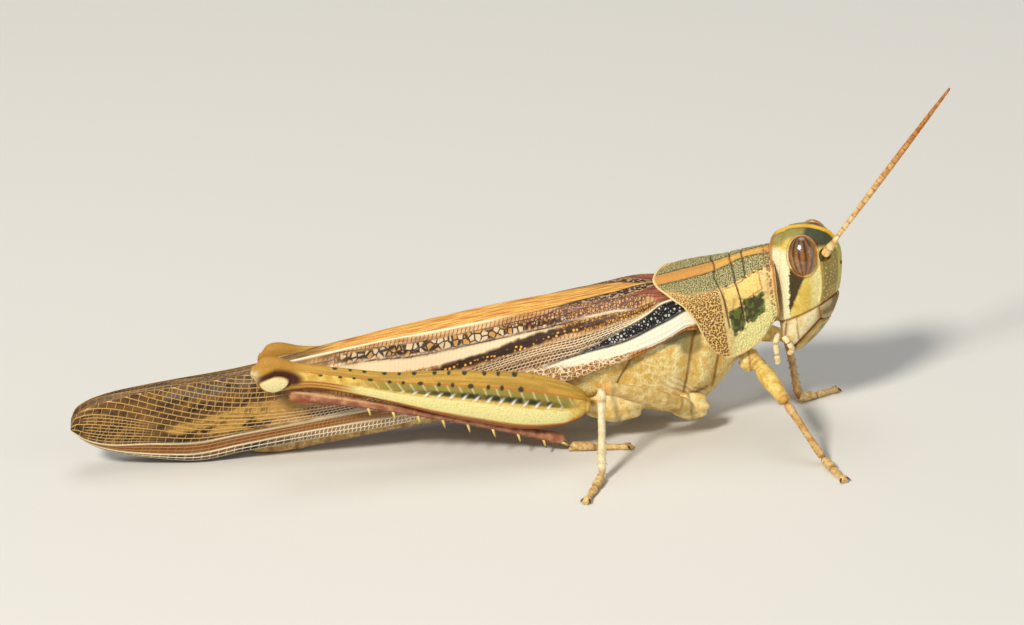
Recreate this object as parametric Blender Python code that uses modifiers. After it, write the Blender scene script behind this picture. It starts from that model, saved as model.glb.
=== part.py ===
"""Bombay locust (Patanga succincta), adult female, at rest: the solids of a life-size still model.

+X is forward, +Y is the animal's left, +Z is up, and the floor is z = 0. Shapes are written in
millimetres. They become metres when a mesh is made, where x is also counted from the middle of
the animal's whole length, feelers included.
"""
import math

import bmesh
import bpy
from mathutils import Matrix, Vector

MM = 0.001
LENGTH_MIDDLE_X = -0.65
CLEARANCE = 0.28
SIDES = {"right": -1, "left": 1}

# Trunk: x, top, underside, half width; the widest level is a share of the height.
TRUNK = (
    (25.5, 16.4, 10.2, 2.3),
    (23.0, 16.1, 7.4, 3.2),
    (20.5, 15.4, 4.2, 3.4),
    (18.0, 14.0, 1.9, 3.6),
    (15.5, 13.2, 1.2, 3.95),
    (12.5, 13.0, 1.9, 4.1),
    (9.0, 12.8, 2.8, 3.9),
    (5.5, 12.4, 3.1, 3.4),
    (2.0, 12.0, 2.9, 3.05),
    (-4.0, 11.0, 2.4, 2.85),
    (-10.0, 9.6, 1.9, 2.6),
    (-16.0, 7.9, 1.1, 2.2),
    (-21.0, 6.2, 0.4, 1.8),
    (-24.5, 4.8, 0.0, 1.6),
    (-27.0, 3.7, 0.15, 1.2),
    (-28.6, 2.7, 0.9, 0.55),
)
TRUNK_WIDEST = 0.56
TRUNK_SQUARENESS = 2.35
TRUNK_RING = 16
TRUNK_STEP = 1.6
BELLY_FLAT_LEVEL = 0.02
BELLY_FLAT_REACH = 0.12

# Where the trunk is parted: piece, front plane, rear plane; a plane is x at the back and its lean.
TRUNK_PARTS = (
    ("prothorax", (99.0, 0.0), (20.3, -0.30)),
    ("mesothorax", (20.3, -0.30), (12.9, -0.42)),
    ("metathorax", (12.9, -0.42), (4.6, -0.25)),
    ("abdomen_base", (4.6, -0.25), (-5.0, 0.0)),
    ("abdomen_middle", (-5.0, 0.0), (-14.0, 0.0)),
    ("abdomen_rear", (-14.0, 0.0), (-22.4, 0.0)),
    ("abdomen_tip", (-22.4, 0.0), (-99.0, 0.0)),
)
TRUNK_LEVEL = 8.0
SPUR_BASE = (22.6, 7.8)
SPUR_SIZE = (0.62, 2.0)

# Pronotum, followed from the ridge (0) down to the lower edge (1) on each side.
PRONOTUM_WALL = 0.6
PRONOTUM_TOP = ((14.2, 15.5), (17.5, 16.1), (20.5, 16.75), (23.2, 17.7), (25.9, 18.2))
PRONOTUM_HALF_WIDTH = ((14.2, 4.5), (17.3, 5.0), (20.5, 4.75), (23.0, 4.2), (25.9, 3.95))
PRONOTUM_SHOULDER_DROP = ((14.2, 1.3), (20.5, 2.0), (23.0, 3.0), (25.9, 3.6))
PRONOTUM_SQUARENESS = ((14.2, 3.2), (19.0, 2.9), (22.0, 2.2), (25.9, 2.1))
PRONOTUM_LOWER_EDGE = ((16.0, 9.6), (20.3, 8.4), (22.4, 8.55), (24.6, 9.8), (26.1, 11.6))
PRONOTUM_HIND_EDGE = (
    (0.0, 14.2), (0.08, 14.55), (0.22, 15.3), (0.385, 16.05), (0.53, 16.9), (0.665, 17.95),
    (0.84, 18.9), (0.93, 19.7), (1.0, 21.1),
)
PRONOTUM_FRONT_EDGE = ((0.0, 25.9), (0.5, 25.95), (0.85, 26.1), (0.94, 25.6), (1.0, 24.2))
PRONOTUM_ARCH_SHARE = 0.55
PRONOTUM_TUCK_IN = 0.35
PRONOTUM_GRID = (8, 10)

# Head in its own frame: x forward of the neck, z above the floor, turned towards its right side.
NECK = (26.35, 0.0, 15.0)
HEAD_TURN = math.radians(-18)
HEAD_TILT = math.radians(-4)
HEAD = (
    (7.5, 1.5, 2.35, 0.8),
    (8.0, 1.15, 3.05, 1.6),
    (8.9, 0.85, 3.95, 2.3),
    (10.0, 0.6, 4.85, 2.75),
    (11.5, 0.45, 5.75, 3.15),
    (13.2, 0.3, 6.35, 3.4),
    (15.0, 0.2, 6.7, 3.5),
    (16.7, 0.1, 6.85, 3.5),
    (18.2, 0.0, 6.75, 3.3),
    (19.2, 0.2, 6.4, 2.9),
    (19.95, 0.8, 5.8, 2.3),
    (20.4, 1.7, 5.0, 1.5),
    (20.6, 2.8, 4.2, 0.6),
)
HEAD_RING = 20
HEAD_SQUARENESS_FRONT = 1.75
HEAD_SQUARENESS_BACK = 2.3
EYE_CENTRE = (3.6, 2.72, 18.42)
EYE_RADII = (1.46, 1.15, 1.98)
EYE_LEAN = math.radians(15)
EYE_TILT = math.radians(-8)
# Planes that part the mouth from the head: a point and an outward normal, both as x and z.
CHEEK_LINE = ((3.4, 12.25), (0.5, -1.0))
LIP_LINE = ((4.05, 11.0), (0.87, -0.5))
CHIN_LINE = ((1.45, 9.5), (-0.98, 0.2))
ANTENNA_SOCKET = (5.6, 2.0, 18.3)
ANTENNA_SOCKET_RADIUS = 0.74
ANTENNA_SOCKET_DEPTH = 4.0
ANTENNA_SOCKET_SHIFT = 1.7
ANTENNA_TIP = (43.95, 35.4)
ANTENNA_TIP_LEAN = 0.6
ANTENNA_BOW = 0.05
ANTENNA_STEPS = 11
ANTENNA_SCAPE_RADII = [0.5, 0.36]
ANTENNA_RADII = (0.35, 0.25)
ANTENNA_SPREAD = {"right": (0.0, 0.0), "left": (2.1, 6.2)}
SPREAD_FORWARD = 0.118
SPREAD_DROP = 0.415
ANTENNA_REACH = {"right": 1.0, "left": 0.93}

PALPS = {
    "maxillary": ((0.75, 2.15, 9.9), (0.6, 2.65, 8.8), (0.75, 2.8, 7.7), (0.8, 2.75, 6.7)),
    "labial": ((1.45, 2.76, 9.75), (2.0, 2.9, 9.1), (2.38, 2.68, 8.35), (1.85, 2.35, 7.7)),
}
PALP_RADII = (0.34, 0.27)
SOCKET_GAP = 0.2

# Wings: the inner edge, the fold between the flat and the upright field, and the lower edge.
WING_BASE_X = 17.0
WING_TIP_X = -45.2
WING_TOP = (
    (17.0, 14.22), (15.4, 14.35), (14.2, 14.5), (13.1, 14.98), (11.5, 15.2), (9.0, 15.2), (4.5, 14.95),
    (-1.1, 14.3), (-11.3, 12.65), (-18.4, 11.3), (-27.6, 9.5), (-37.0, 8.4), (-42.0, 7.5), (-44.4, 6.4), (-45.2, 5.2),
)
WING_FOLD_Y = (
    (17.0, 3.3), (13.0, 3.1), (9.0, 2.7), (4.8, 2.2), (-1.0, 1.8), (-8.0, 1.45), (-15.0, 1.1),
    (-22.0, 1.05), (-45.2, 0.95),
)
WING_FOLD_DROP = (
    (17.0, 0.4), (14.5, 0.25), (12.5, 0.12), (9.0, 0.45), (4.8, 0.75), (-1.0, 0.8), (-8.0, 0.75), (-15.0, 0.6),
    (-22.0, 0.5), (-45.2, 0.3),
)
WING_LOW = (
    (17.0, 11.7), (12.0, 9.6), (8.0, 8.3), (5.8, 7.4), (0.0, 5.9), (-12.5, 3.4), (-21.6, 2.1),
    (-28.2, 1.1), (-32.6, 0.4), (-37.0, 0.9), (-41.0, 1.8), (-43.6, 3.0), (-45.2, 4.6),
)
WING_LOW_Y = (
    (17.0, 3.95), (12.0, 4.7), (8.0, 4.5), (4.0, 3.95), (0.0, 3.65), (-10.0, 3.3), (-20.0, 2.55),
    (-28.0, 1.9), (-36.0, 1.5), (-45.2, 1.1),
)
WING_BULGE = 0.2
WING_THICKNESS = 0.5
WING_LEAST_DEPTH = 0.3
WING_TIP_TURN = math.pi / 2 * 0.985
WING_INNER_Y = {"right": 0.3, "left": 0.55}
WING_TUCK = {"right": 0.0, "left": 0.3}
WING_GRID = (16, 2, 4)
HIND_WING_SPAN = (-20.5, -42.0)
HIND_WING_Y = 0.4
HIND_WING_INSET = (1.0, 0.7, 0.5)
HIND_WING_CLEAR_X = -31.5
HIND_WING_GRID = (12, 3)

# Hind leg: hip and knee ends of the thigh; then share, half depth, half thickness, lift.
HIND_HIP = (7.1, 5.9, 5.25)
HIND_KNEE = {"right": (-26.4, 4.6, 10.85), "left": (-26.2, 4.6, 7.75)}
HIND_THIGH = (
    (0.00, 0.90, 0.50, 0.0),
    (0.012, 1.42, 0.80, 0.0),
    (0.03, 1.80, 1.10, -0.05),
    (0.07, 2.40, 1.35, -0.15),
    (0.18, 3.05, 1.50, -0.18),
    (0.32, 2.80, 1.45, -0.12),
    (0.46, 2.30, 1.25, -0.06),
    (0.60, 1.61, 1.00, 0.05),
    (0.74, 1.31, 0.85, 0.36),
    (0.82, 1.26, 0.80, 0.44),
    (0.88, 1.51, 0.90, 0.31),
    (0.94, 2.00, 1.05, 0.23),
    (0.98, 1.72, 0.90, 0.28),
    (1.00, 0.85, 0.45, 0.30),
)
HIND_SHIN_TOP = {"right": (-22.8, 4.4, 8.35), "left": (-22.6, 4.4, 5.4)}
HIND_SHIN_BEND = {"right": (-9.4, 4.8, 5.2), "left": (-9.4, 4.8, 4.0)}
HIND_ANKLE = (4.3, 5.2, 1.5)
HIND_SHIN_RADIUS = 0.56
SPINE_COUNT = 8
SPINE_SPAN = (0.30, 0.93)
SPINE_SIZE = (0.24, 1.0)
SPINE_SIDES = 5
SPINE_TIP_SHARE = 0.35
SPINE_ROOTED = 0.75
SPINE_LEAN = (0.25, 0.62, -0.85)
SPINE_ROW_STAGGER = 0.012
HIND_SHIN_STEPS = 12
HIND_SHIN_END_SHARE = 0.8
HIND_SHIN_HEAD = 0.12
HIND_SHIN_HEAD_SHARE = 0.3

# Walking legs: coxa centre, then hip, knee and ankle, all for the left side.
MID_COXA = (17.1, 3.9, 3.25)
FRONT_COXA = (23.3, 2.75, 7.3)
HIND_COXA = (9.6, 3.8, 3.95)
MID_LEG = ((16.4, 5.35, 4.2), (8.2, 9.0, 8.7), (7.6, 12.3, 0.75))
FRONT_LEG = {
    "right": ((24.1, 4.2, 7.45), (26.2, 10.0, 5.9), (29.5, 12.4, 0.75)),
    "left": ((24.3, 4.1, 7.2), (27.9, 7.0, 5.0), (28.4, 1.4, 0.75)),
}
COXA_RADII = {"front": (1.15, 0.9, 1.3), "mid": (2.0, 1.1, 1.5), "hind": (3.2, 1.2, 1.85)}
WALKING_THIGH = (
    (0.0, 0.45), (0.05, 0.72), (0.13, 0.74), (0.17, 0.62), (0.3, 0.86), (0.5, 0.9), (0.75, 0.76),
    (0.9, 0.66), (0.96, 0.72), (1.0, 0.4),
)
WALKING_SHIN_START = (1.0, 0.15)
WALKING_FOOT_START = 0.55
HIND_FOOT_START = 0.95
WALKING_SHIN = ((0.0, 0.3), (0.05, 0.52), (0.15, 0.42), (0.6, 0.38), (0.93, 0.42), (1.0, 0.3))
LEG_RING = 8

# Foot: share of its length, half width, height; the sole is flat on the floor.
FOOT = (
    (0.00, 0.30, 0.60), (0.08, 0.42, 0.95), (0.35, 0.46, 0.80), (0.42, 0.34, 0.60),
    (0.50, 0.42, 0.66), (0.80, 0.30, 0.55), (0.90, 0.55, 0.75), (1.00, 0.30, 0.35),
)
FOOT_SECTION = (
    (-0.75, 0.0), (0.75, 0.0), (1.0, 0.35), (0.85, 0.75), (0.35, 1.0), (-0.35, 1.0),
    (-0.85, 0.75), (-1.0, 0.35),
)
FOOT_LENGTH = {"front": 4.2, "mid": 4.6, "hind": 5.8}
FOOT_HEADING = {
    ("front", "right"): math.radians(-70),
    ("front", "left"): math.radians(25),
    ("mid", "right"): math.radians(-112),
    ("mid", "left"): math.radians(112),
    ("hind", "right"): math.radians(-6),
    ("hind", "left"): math.radians(6),
}

BUFF = (0.72, 0.52, 0.24)
OLIVE = (0.40, 0.30, 0.12)
CREAM = (0.90, 0.82, 0.52)
AMBER = (0.62, 0.32, 0.08)
EYE_BROWN = (0.30, 0.13, 0.04)
SHIN_RED = (0.30, 0.08, 0.03)
WING_TAN = (0.52, 0.36, 0.16)
MEMBRANE = (0.55, 0.45, 0.30)


def smooth(stations, x):
    """Value at x of the smooth curve through stations of (x, value), given in order."""
    knots = sorted(stations)
    if x <= knots[0][0]:
        return knots[0][1]
    for before, after in zip(knots, knots[1:]):
        if x <= after[0]:
            break
    else:
        return knots[-1][1]
    index = knots.index(before)
    earlier = knots[max(index - 1, 0)]
    later = knots[min(index + 2, len(knots) - 1)]
    span = after[0] - before[0]
    slope_in = (after[1] - earlier[1]) / (after[0] - earlier[0]) * span
    slope_out = (later[1] - before[1]) / (later[0] - before[0]) * span
    t = (x - before[0]) / span
    return (
        before[1] * (2 * t**3 - 3 * t**2 + 1)
        + slope_in * (t**3 - 2 * t**2 + t)
        + after[1] * (3 * t**2 - 2 * t**3)
        + slope_out * (t**3 - t**2)
    )


def column(rows, index):
    """Stations of (first value, value at index) from rows of several values."""
    return [(row[0], row[index]) for row in rows]


def spread(start, end, steps):
    """Even values from start to end, both included."""
    return [start + (end - start) * i / steps for i in range(steps + 1)]


def rounded(value, squareness):
    """A sine or cosine turned into a superellipse's."""
    return math.copysign(abs(value) ** (2 / squareness), value)


def metres(point):
    return Vector((point[0] - LENGTH_MIDDLE_X, point[1], point[2])) * MM


def clear_scene():
    for item in list(bpy.data.objects):
        bpy.data.objects.remove(item, do_unlink=True)


def new_collection(name):
    collection = bpy.data.collections.new(name)
    bpy.context.scene.collection.children.link(collection)
    return collection


def material(name, colour, roughness=0.45):
    finish = bpy.data.materials.new(name)
    finish.use_nodes = True
    shader = finish.node_tree.nodes["Principled BSDF"]
    shader.inputs["Base Color"].default_value = (*colour, 1.0)
    shader.inputs["Roughness"].default_value = roughness
    shader.inputs["Metallic"].default_value = 0.0
    return finish


def add_piece(name, bm, colour, collection, roughness=0.45):
    """Makes the bmesh, in millimetres, into a named object in metres; open ones face up."""
    bmesh.ops.recalc_face_normals(bm, faces=bm.faces)
    highest = max(bm.faces, key=lambda face: face.calc_center_median().z)
    if highest.normal.z < 0 and any(edge.is_boundary for edge in bm.edges):
        bmesh.ops.reverse_faces(bm, faces=bm.faces)
    for vert in bm.verts:
        vert.co = metres(vert.co)
    mesh = bpy.data.meshes.new(name)
    bm.to_mesh(mesh)
    bm.free()
    mesh.shade_smooth()
    mesh.materials.append(material(name, colour, roughness))
    piece = bpy.data.objects.new(name, mesh)
    collection.objects.link(piece)
    return piece


def loft(rings):
    """A closed body through rings of the same number of points."""
    bm = bmesh.new()
    loops = [[bm.verts.new(point) for point in ring] for ring in rings]
    count = len(loops[0])
    for near, far in zip(loops, loops[1:]):
        for i in range(count):
            j = (i + 1) % count
            bm.faces.new((near[i], near[j], far[j], far[i]))
    bm.faces.new(loops[0])
    bm.faces.new(loops[-1])
    return bm


def sheet(grid):
    """An open surface through rows of points."""
    bm = bmesh.new()
    rows = [[bm.verts.new(point) for point in row] for row in grid]
    for near, far in zip(rows, rows[1:]):
        for i in range(len(near) - 1):
            bm.faces.new((near[i], near[i + 1], far[i + 1], far[i]))
    return bm


def keep_behind(bm, point, normal):
    """Cuts the body by a plane, keeps the side away from the normal and closes the cut."""
    everything = bm.verts[:] + bm.edges[:] + bm.faces[:]
    cut = bmesh.ops.bisect_plane(
        bm, geom=everything, plane_co=point, plane_no=normal, clear_outer=True, dist=1e-5
    )
    edges = [item for item in cut["geom_cut"] if isinstance(item, bmesh.types.BMEdge)]
    if edges:
        bmesh.ops.edgeloop_fill(bm, edges=edges)


def ball(centre, radii, turn=None, segments=12, rings=8):
    bm = bmesh.new()
    bmesh.ops.create_uvsphere(bm, u_segments=segments, v_segments=rings, radius=1.0)
    scale = Matrix.Diagonal((*radii, 1.0))
    bmesh.ops.transform(
        bm, matrix=Matrix.Translation(centre) @ (turn or Matrix.Identity(4)) @ scale, verts=bm.verts
    )
    return bm


def thicken(piece, thickness, offset):
    wall = piece.modifiers.new("wall", "SOLIDIFY")
    wall.thickness = thickness * MM
    wall.offset = offset
    wall.use_even_offset = True


def combine(target, tool, operation):
    """Joins the tool piece to the target (UNION) or cuts it away (DIFFERENCE)."""
    tool.hide_render = True
    tool.display_type = "WIRE"
    boolean = target.modifiers.new(tool.name, "BOOLEAN")
    boolean.operation = operation
    boolean.object = tool


def carve(target, tool, cutters, gap=CLEARANCE):
    """Cuts a socket into the target that clears the tool piece by the gap."""
    mesh = tool.data.copy()
    normals = [vert.normal.copy() for vert in mesh.vertices]
    for vert, normal in zip(mesh.vertices, normals):
        vert.co += normal * gap * MM
    cutter = bpy.data.objects.new(f"socket_{target.name}_{tool.name}", mesh)
    cutters.objects.link(cutter)
    combine(target, cutter, "DIFFERENCE")


def trunk_ring(x):
    top = smooth(column(TRUNK, 1), x)
    low = smooth(column(TRUNK, 2), x)
    half_width = smooth(column(TRUNK, 3), x)
    widest = low + (top - low) * TRUNK_WIDEST
    ring = []
    for i in range(TRUNK_RING):
        angle = math.tau * (i + 0.5) / TRUNK_RING
        up = rounded(math.sin(angle), TRUNK_SQUARENESS)
        reach = (top - widest) if up > 0 else (widest - low)
        height = max(widest + reach * up, BELLY_FLAT_LEVEL)
        ring.append((x, half_width * rounded(math.cos(angle), TRUNK_SQUARENESS), height))
    return ring


def trunk_whole():
    """The trunk from neck to tail, its belly flat where it lies on the floor."""
    front, rear = TRUNK[0][0], TRUNK[-1][0]
    bm = loft([trunk_ring(x) for x in spread(front, rear, round((front - rear) / TRUNK_STEP))])
    for vert in bm.verts:
        if vert.co.z < BELLY_FLAT_LEVEL + BELLY_FLAT_REACH:
            vert.co.z = 0.0
    return bm


def leaning_plane(plane, sign):
    x, lean = plane
    normal = Vector((1.0, 0.0, -lean)).normalized() * sign
    point = Vector((x, 0.0, TRUNK_LEVEL)) - normal * CLEARANCE / 2
    return point, normal


def make_trunk(collection):
    parts = {}
    for name, front, rear in TRUNK_PARTS:
        bm = trunk_whole()
        keep_behind(bm, *leaning_plane(front, 1))
        keep_behind(bm, *leaning_plane(rear, -1))
        parts[name] = add_piece(name, bm, BUFF, collection, 0.5)
    return parts


def add_throat_spur(prothorax, cutters):
    """The short blunt peg between the front legs, joined to the prothorax."""
    bm = bmesh.new()
    radius, length = SPUR_SIZE
    bmesh.ops.create_cone(
        bm, cap_ends=True, segments=8, radius1=radius * 0.7, radius2=radius, depth=length
    )
    bmesh.ops.translate(bm, vec=(SPUR_BASE[0], 0.0, SPUR_BASE[1] - length * 0.3), verts=bm.verts)
    combine(prothorax, add_piece("throat_spur", bm, BUFF, cutters), "UNION")


def pronotum_point(x, share, side):
    """A point on the pronotum's outer face; share runs from the ridge to the lower edge."""
    top = smooth(PRONOTUM_TOP, x)
    half_width = smooth(PRONOTUM_HALF_WIDTH, x)
    drop = smooth(PRONOTUM_SHOULDER_DROP, x)
    squareness = smooth(PRONOTUM_SQUARENESS, x)
    if share < PRONOTUM_ARCH_SHARE:
        angle = math.pi / 2 * (1 - share / PRONOTUM_ARCH_SHARE)
        y = half_width * rounded(math.cos(angle), squareness)
        z = top - drop * (1 - rounded(math.sin(angle), squareness))
        return (x, side * y, z)
    along = (share - PRONOTUM_ARCH_SHARE) / (1 - PRONOTUM_ARCH_SHARE)
    low = smooth(PRONOTUM_LOWER_EDGE, x)
    return (x, side * (half_width - PRONOTUM_TUCK_IN * along**2), top - drop + (low - top + drop) * along)


def make_pronotum(collection):
    steps_long, steps_down = PRONOTUM_GRID
    shares = [(-1, s) for s in spread(1.0, 0.0, steps_down)]
    shares += [(1, s) for s in spread(0.0, 1.0, steps_down)[1:]]
    grid = []
    for along in spread(0.0, 1.0, steps_long):
        row = []
        for side, share in shares:
            hind = smooth(PRONOTUM_HIND_EDGE, share)
            front = smooth(PRONOTUM_FRONT_EDGE, share)
            row.append(pronotum_point(hind + (front - hind) * along, share, side))
        grid.append(row)
    piece = add_piece("pronotum", sheet(grid), OLIVE, collection, 0.55)
    thicken(piece, PRONOTUM_WALL, -1.0)


def head_frame():
    pivot = Matrix.Translation(NECK)
    turn = Matrix.Rotation(HEAD_TURN, 4, "Z") @ Matrix.Rotation(HEAD_TILT, 4, "X")
    return pivot @ turn @ Matrix.Translation((0.0, 0.0, -NECK[2]))


def head_whole():
    """The head and mouth as one closed form of level rings, in the head's frame."""
    rings = []
    for z, back, front, half_width in HEAD:
        ring = []
        for i in range(HEAD_RING):
            angle = math.tau * i / HEAD_RING
            power = HEAD_SQUARENESS_FRONT if math.cos(angle) > 0 else HEAD_SQUARENESS_BACK
            x = (front + back) / 2 + (front - back) / 2 * rounded(math.cos(angle), power)
            ring.append((x, half_width * rounded(math.sin(angle), power), z))
        rings.append(ring)
    return loft(rings)


def head_cut(bm, line, side):
    """Keeps one side of a plane across the head: the side its normal points to is 1."""
    point = Vector((line[0][0], 0.0, line[0][1]))
    normal = Vector((line[1][0], 0.0, line[1][1])).normalized()
    keep_behind(bm, point + normal * side * CLEARANCE / 2, normal * -side)


def head_piece(name, cuts, colour, collection, half=0):
    bm = head_whole()
    for line, side in cuts:
        head_cut(bm, line, side)
    if half:
        keep_behind(bm, Vector((0.0, half * CLEARANCE / 2, 0.0)), Vector((0.0, -half, 0.0)))
    bmesh.ops.transform(bm, matrix=head_frame(), verts=bm.verts)
    return add_piece(name, bm, colour, collection, 0.4)


def make_eye(side_name, collection):
    side = SIDES[side_name]
    centre = (EYE_CENTRE[0], side * EYE_CENTRE[1], EYE_CENTRE[2])
    lean = Matrix.Rotation(side * EYE_LEAN, 4, "X") @ Matrix.Rotation(EYE_TILT, 4, "Y")
    bm = ball(centre, EYE_RADII, lean, segments=12, rings=8)
    bmesh.ops.transform(bm, matrix=head_frame(), verts=bm.verts)
    return add_piece(f"eye_{side_name}", bm, EYE_BROWN, collection, 0.25)


def make_tube(name, points, radii, colour, collection):
    """A tapering round tube through the points, as a curve."""
    curve = bpy.data.curves.new(name, "CURVE")
    curve.dimensions = "3D"
    curve.bevel_depth = MM
    curve.bevel_resolution = 2
    curve.use_fill_caps = True
    spline = curve.splines.new("POLY")
    spline.points.add(len(points) - 1)
    for knot, point, radius in zip(spline.points, points, radii):
        knot.co = (*metres(point), 1.0)
        knot.radius = radius
    curve.materials.append(material(name, colour, 0.5))
    piece = bpy.data.objects.new(name, curve)
    collection.objects.link(piece)
    return piece


def antenna_route(side_name):
    """From the socket to the tip, bowed a little; the left one runs beside and below."""
    socket = Vector(ANTENNA_SOCKET)
    socket.y *= SIDES[side_name]
    root = head_frame() @ socket
    right_root = head_frame() @ Vector((socket.x, -ANTENNA_SOCKET[1], socket.z))
    end = Vector((ANTENNA_TIP[0], right_root.y - ANTENNA_TIP_LEAN, ANTENNA_TIP[1]))
    first, last = ANTENNA_SPREAD[side_name]
    route = []
    for step in spread(0.0, 1.0, ANTENNA_STEPS):
        t = step * ANTENNA_REACH[side_name]
        point = right_root.lerp(end, t)
        point.z += ANTENNA_BOW * math.sin(math.pi * t)
        out = first + (last - first) * t
        point += Vector((out * SPREAD_FORWARD, out, -out * SPREAD_DROP))
        route.append(root.lerp(point, min(1.0, t * 4)) if first else point)
    return route


def make_antenna(side_name, collection):
    route = antenna_route(side_name)
    radii = ANTENNA_SCAPE_RADII + spread(*ANTENNA_RADII, ANTENNA_STEPS - 2)
    return make_tube(f"antenna_{side_name}", route, radii, AMBER, collection)


def make_antenna_socket(side_name, cutters):
    """A round pit in the face where the antenna's first joint stands."""
    route = antenna_route(side_name)
    line = (route[1] - route[0]).normalized()
    turn = line.to_track_quat("Z", "Y").to_matrix().to_4x4()
    bm = bmesh.new()
    bmesh.ops.create_cone(
        bm, cap_ends=True, segments=8, radius1=ANTENNA_SOCKET_RADIUS, radius2=ANTENNA_SOCKET_RADIUS,
        depth=ANTENNA_SOCKET_DEPTH,
        matrix=Matrix.Translation(route[0] + line * ANTENNA_SOCKET_SHIFT) @ turn,
    )
    return add_piece(f"pit_{side_name}", bm, AMBER, cutters)


def make_palps(side_name, collection):
    """The jointed feelers under the mouth, two on each side."""
    side = SIDES[side_name]
    for kind, route in PALPS.items():
        points = [head_frame() @ Vector((x, side * y, z)) for x, y, z in route]
        radii = spread(*PALP_RADII, len(points) - 1)
        make_tube(f"palp_{kind}_{side_name}", points, radii, CREAM, collection)


def make_head(collection, cutters):
    head = head_piece("head", [(CHEEK_LINE, -1)], CREAM, collection)
    for side_name in SIDES:
        carve(head, make_eye(side_name, collection), cutters, SOCKET_GAP)
        make_antenna(side_name, collection)
        combine(head, make_antenna_socket(side_name, cutters), "DIFFERENCE")
        make_palps(side_name, collection)
    head_piece("clypeus_labrum", [(CHEEK_LINE, 1), (LIP_LINE, 1)], AMBER, collection)
    cheek_cuts = [(CHEEK_LINE, 1), (LIP_LINE, -1), (CHIN_LINE, -1)]
    for side_name, side in SIDES.items():
        head_piece(f"mandible_{side_name}", cheek_cuts, CREAM, collection, side)
    head_piece("labium", [(CHEEK_LINE, 1), (CHIN_LINE, 1)], CREAM, collection)
    return head


def wing_row(x, side_name):
    """Points across a fore wing at x, from its inner edge over the fold to its lower edge."""
    side = SIDES[side_name]
    _, flat_steps, side_steps = WING_GRID
    top = smooth(WING_TOP, x) - WING_TUCK[side_name]
    fold_y = smooth(WING_FOLD_Y, x)
    fold_z = top - smooth(WING_FOLD_DROP, x)
    low_y = smooth(WING_LOW_Y, x)
    low_z = min(smooth(WING_LOW, x), fold_z - WING_LEAST_DEPTH)
    inner = WING_INNER_Y[side_name]
    row = [(x, side * (inner + (fold_y - inner) * t), top + (fold_z - top) * t * t)
           for t in spread(0.0, 1.0, flat_steps)]
    for t in spread(0.0, 1.0, side_steps)[1:]:
        bulge = WING_BULGE * math.sin(math.pi * t)
        y = fold_y + (low_y - fold_y) * math.sin(t * math.pi / 2) + bulge
        row.append((x, side * y, fold_z + (low_z - fold_z) * t))
    return row


def make_fore_wing(side_name, collection):
    steps = WING_GRID[0]
    length = WING_TIP_X - WING_BASE_X
    places = [WING_BASE_X + length * math.sin(t) for t in spread(0.0, WING_TIP_TURN, steps)]
    bm = sheet([wing_row(x, side_name) for x in places])
    piece = add_piece(f"tegmen_{side_name}", bm, WING_TAN, collection, 0.5)
    thicken(piece, WING_THICKNESS, 0.0)


def make_hind_wing(side_name, collection):
    """The folded hind wing, an upright plate between the fore wings behind the abdomen."""
    grid = []
    for x in spread(*HIND_WING_SPAN, HIND_WING_GRID[0]):
        top = smooth(WING_TOP, x) - HIND_WING_INSET[0]
        belly = smooth(column(TRUNK, 1), x) + HIND_WING_INSET[1]
        low = max(belly if x > HIND_WING_CLEAR_X else 0.0, smooth(WING_LOW, x) + HIND_WING_INSET[2])
        grid.append([(x, SIDES[side_name] * HIND_WING_Y, top + (low - top) * t)
                     for t in spread(0.0, 1.0, HIND_WING_GRID[1])])
    piece = add_piece(f"hindwing_{side_name}", sheet(grid), MEMBRANE, collection, 0.4)
    thicken(piece, WING_THICKNESS, 0.0)


def sided(point, side):
    return Vector((point[0], side * point[1], point[2]))


def leg_ring(centre, ahead, depth, thickness, lift=0.0):
    """A leg's oval section across the direction ahead, standing upright."""
    across = ahead.cross(Vector((0.0, 0.0, 1.0))).normalized()
    up = across.cross(ahead)
    ring = []
    for i in range(LEG_RING):
        angle = math.tau * (i + 0.5) / LEG_RING
        offset = up * (depth * math.sin(angle) + lift) + across * thickness * math.cos(angle)
        ring.append(centre + offset)
    return ring


def limb(start, end, stations):
    """A leg segment: stations of share, half depth, half thickness and lift above the line."""
    ahead = (end - start).normalized()
    return loft([
        leg_ring(start.lerp(end, share), ahead, depth, thickness, lift)
        for share, depth, thickness, lift in stations
    ])


def round_stations(stations):
    return [(share, radius, radius, 0.0) for share, radius in stations]


def make_foot(name, ankle, heading, length, collection):
    """A foot that lies along the floor: bulging pads, narrow joints and a pair of claws' reach."""
    ahead = Vector((math.cos(heading), math.sin(heading), 0.0))
    across = Vector((-ahead.y, ahead.x, 0.0))
    rings = []
    for share, half_width, height in FOOT:
        base = Vector((ankle.x, ankle.y, 0.0)) + ahead * (length * share)
        rings.append([base + across * half_width * a + Vector((0.0, 0.0, height * b))
                      for a, b in FOOT_SECTION])
    return add_piece(name, loft(rings), OLIVE, collection)


def make_coxa(kind, side_name, collection):
    centre = {"front": FRONT_COXA, "mid": MID_COXA, "hind": HIND_COXA}[kind]
    bm = ball(sided(centre, SIDES[side_name]), COXA_RADII[kind], segments=10, rings=7)
    return add_piece(f"coxa_{kind}_{side_name}", bm, BUFF, collection)


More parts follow.
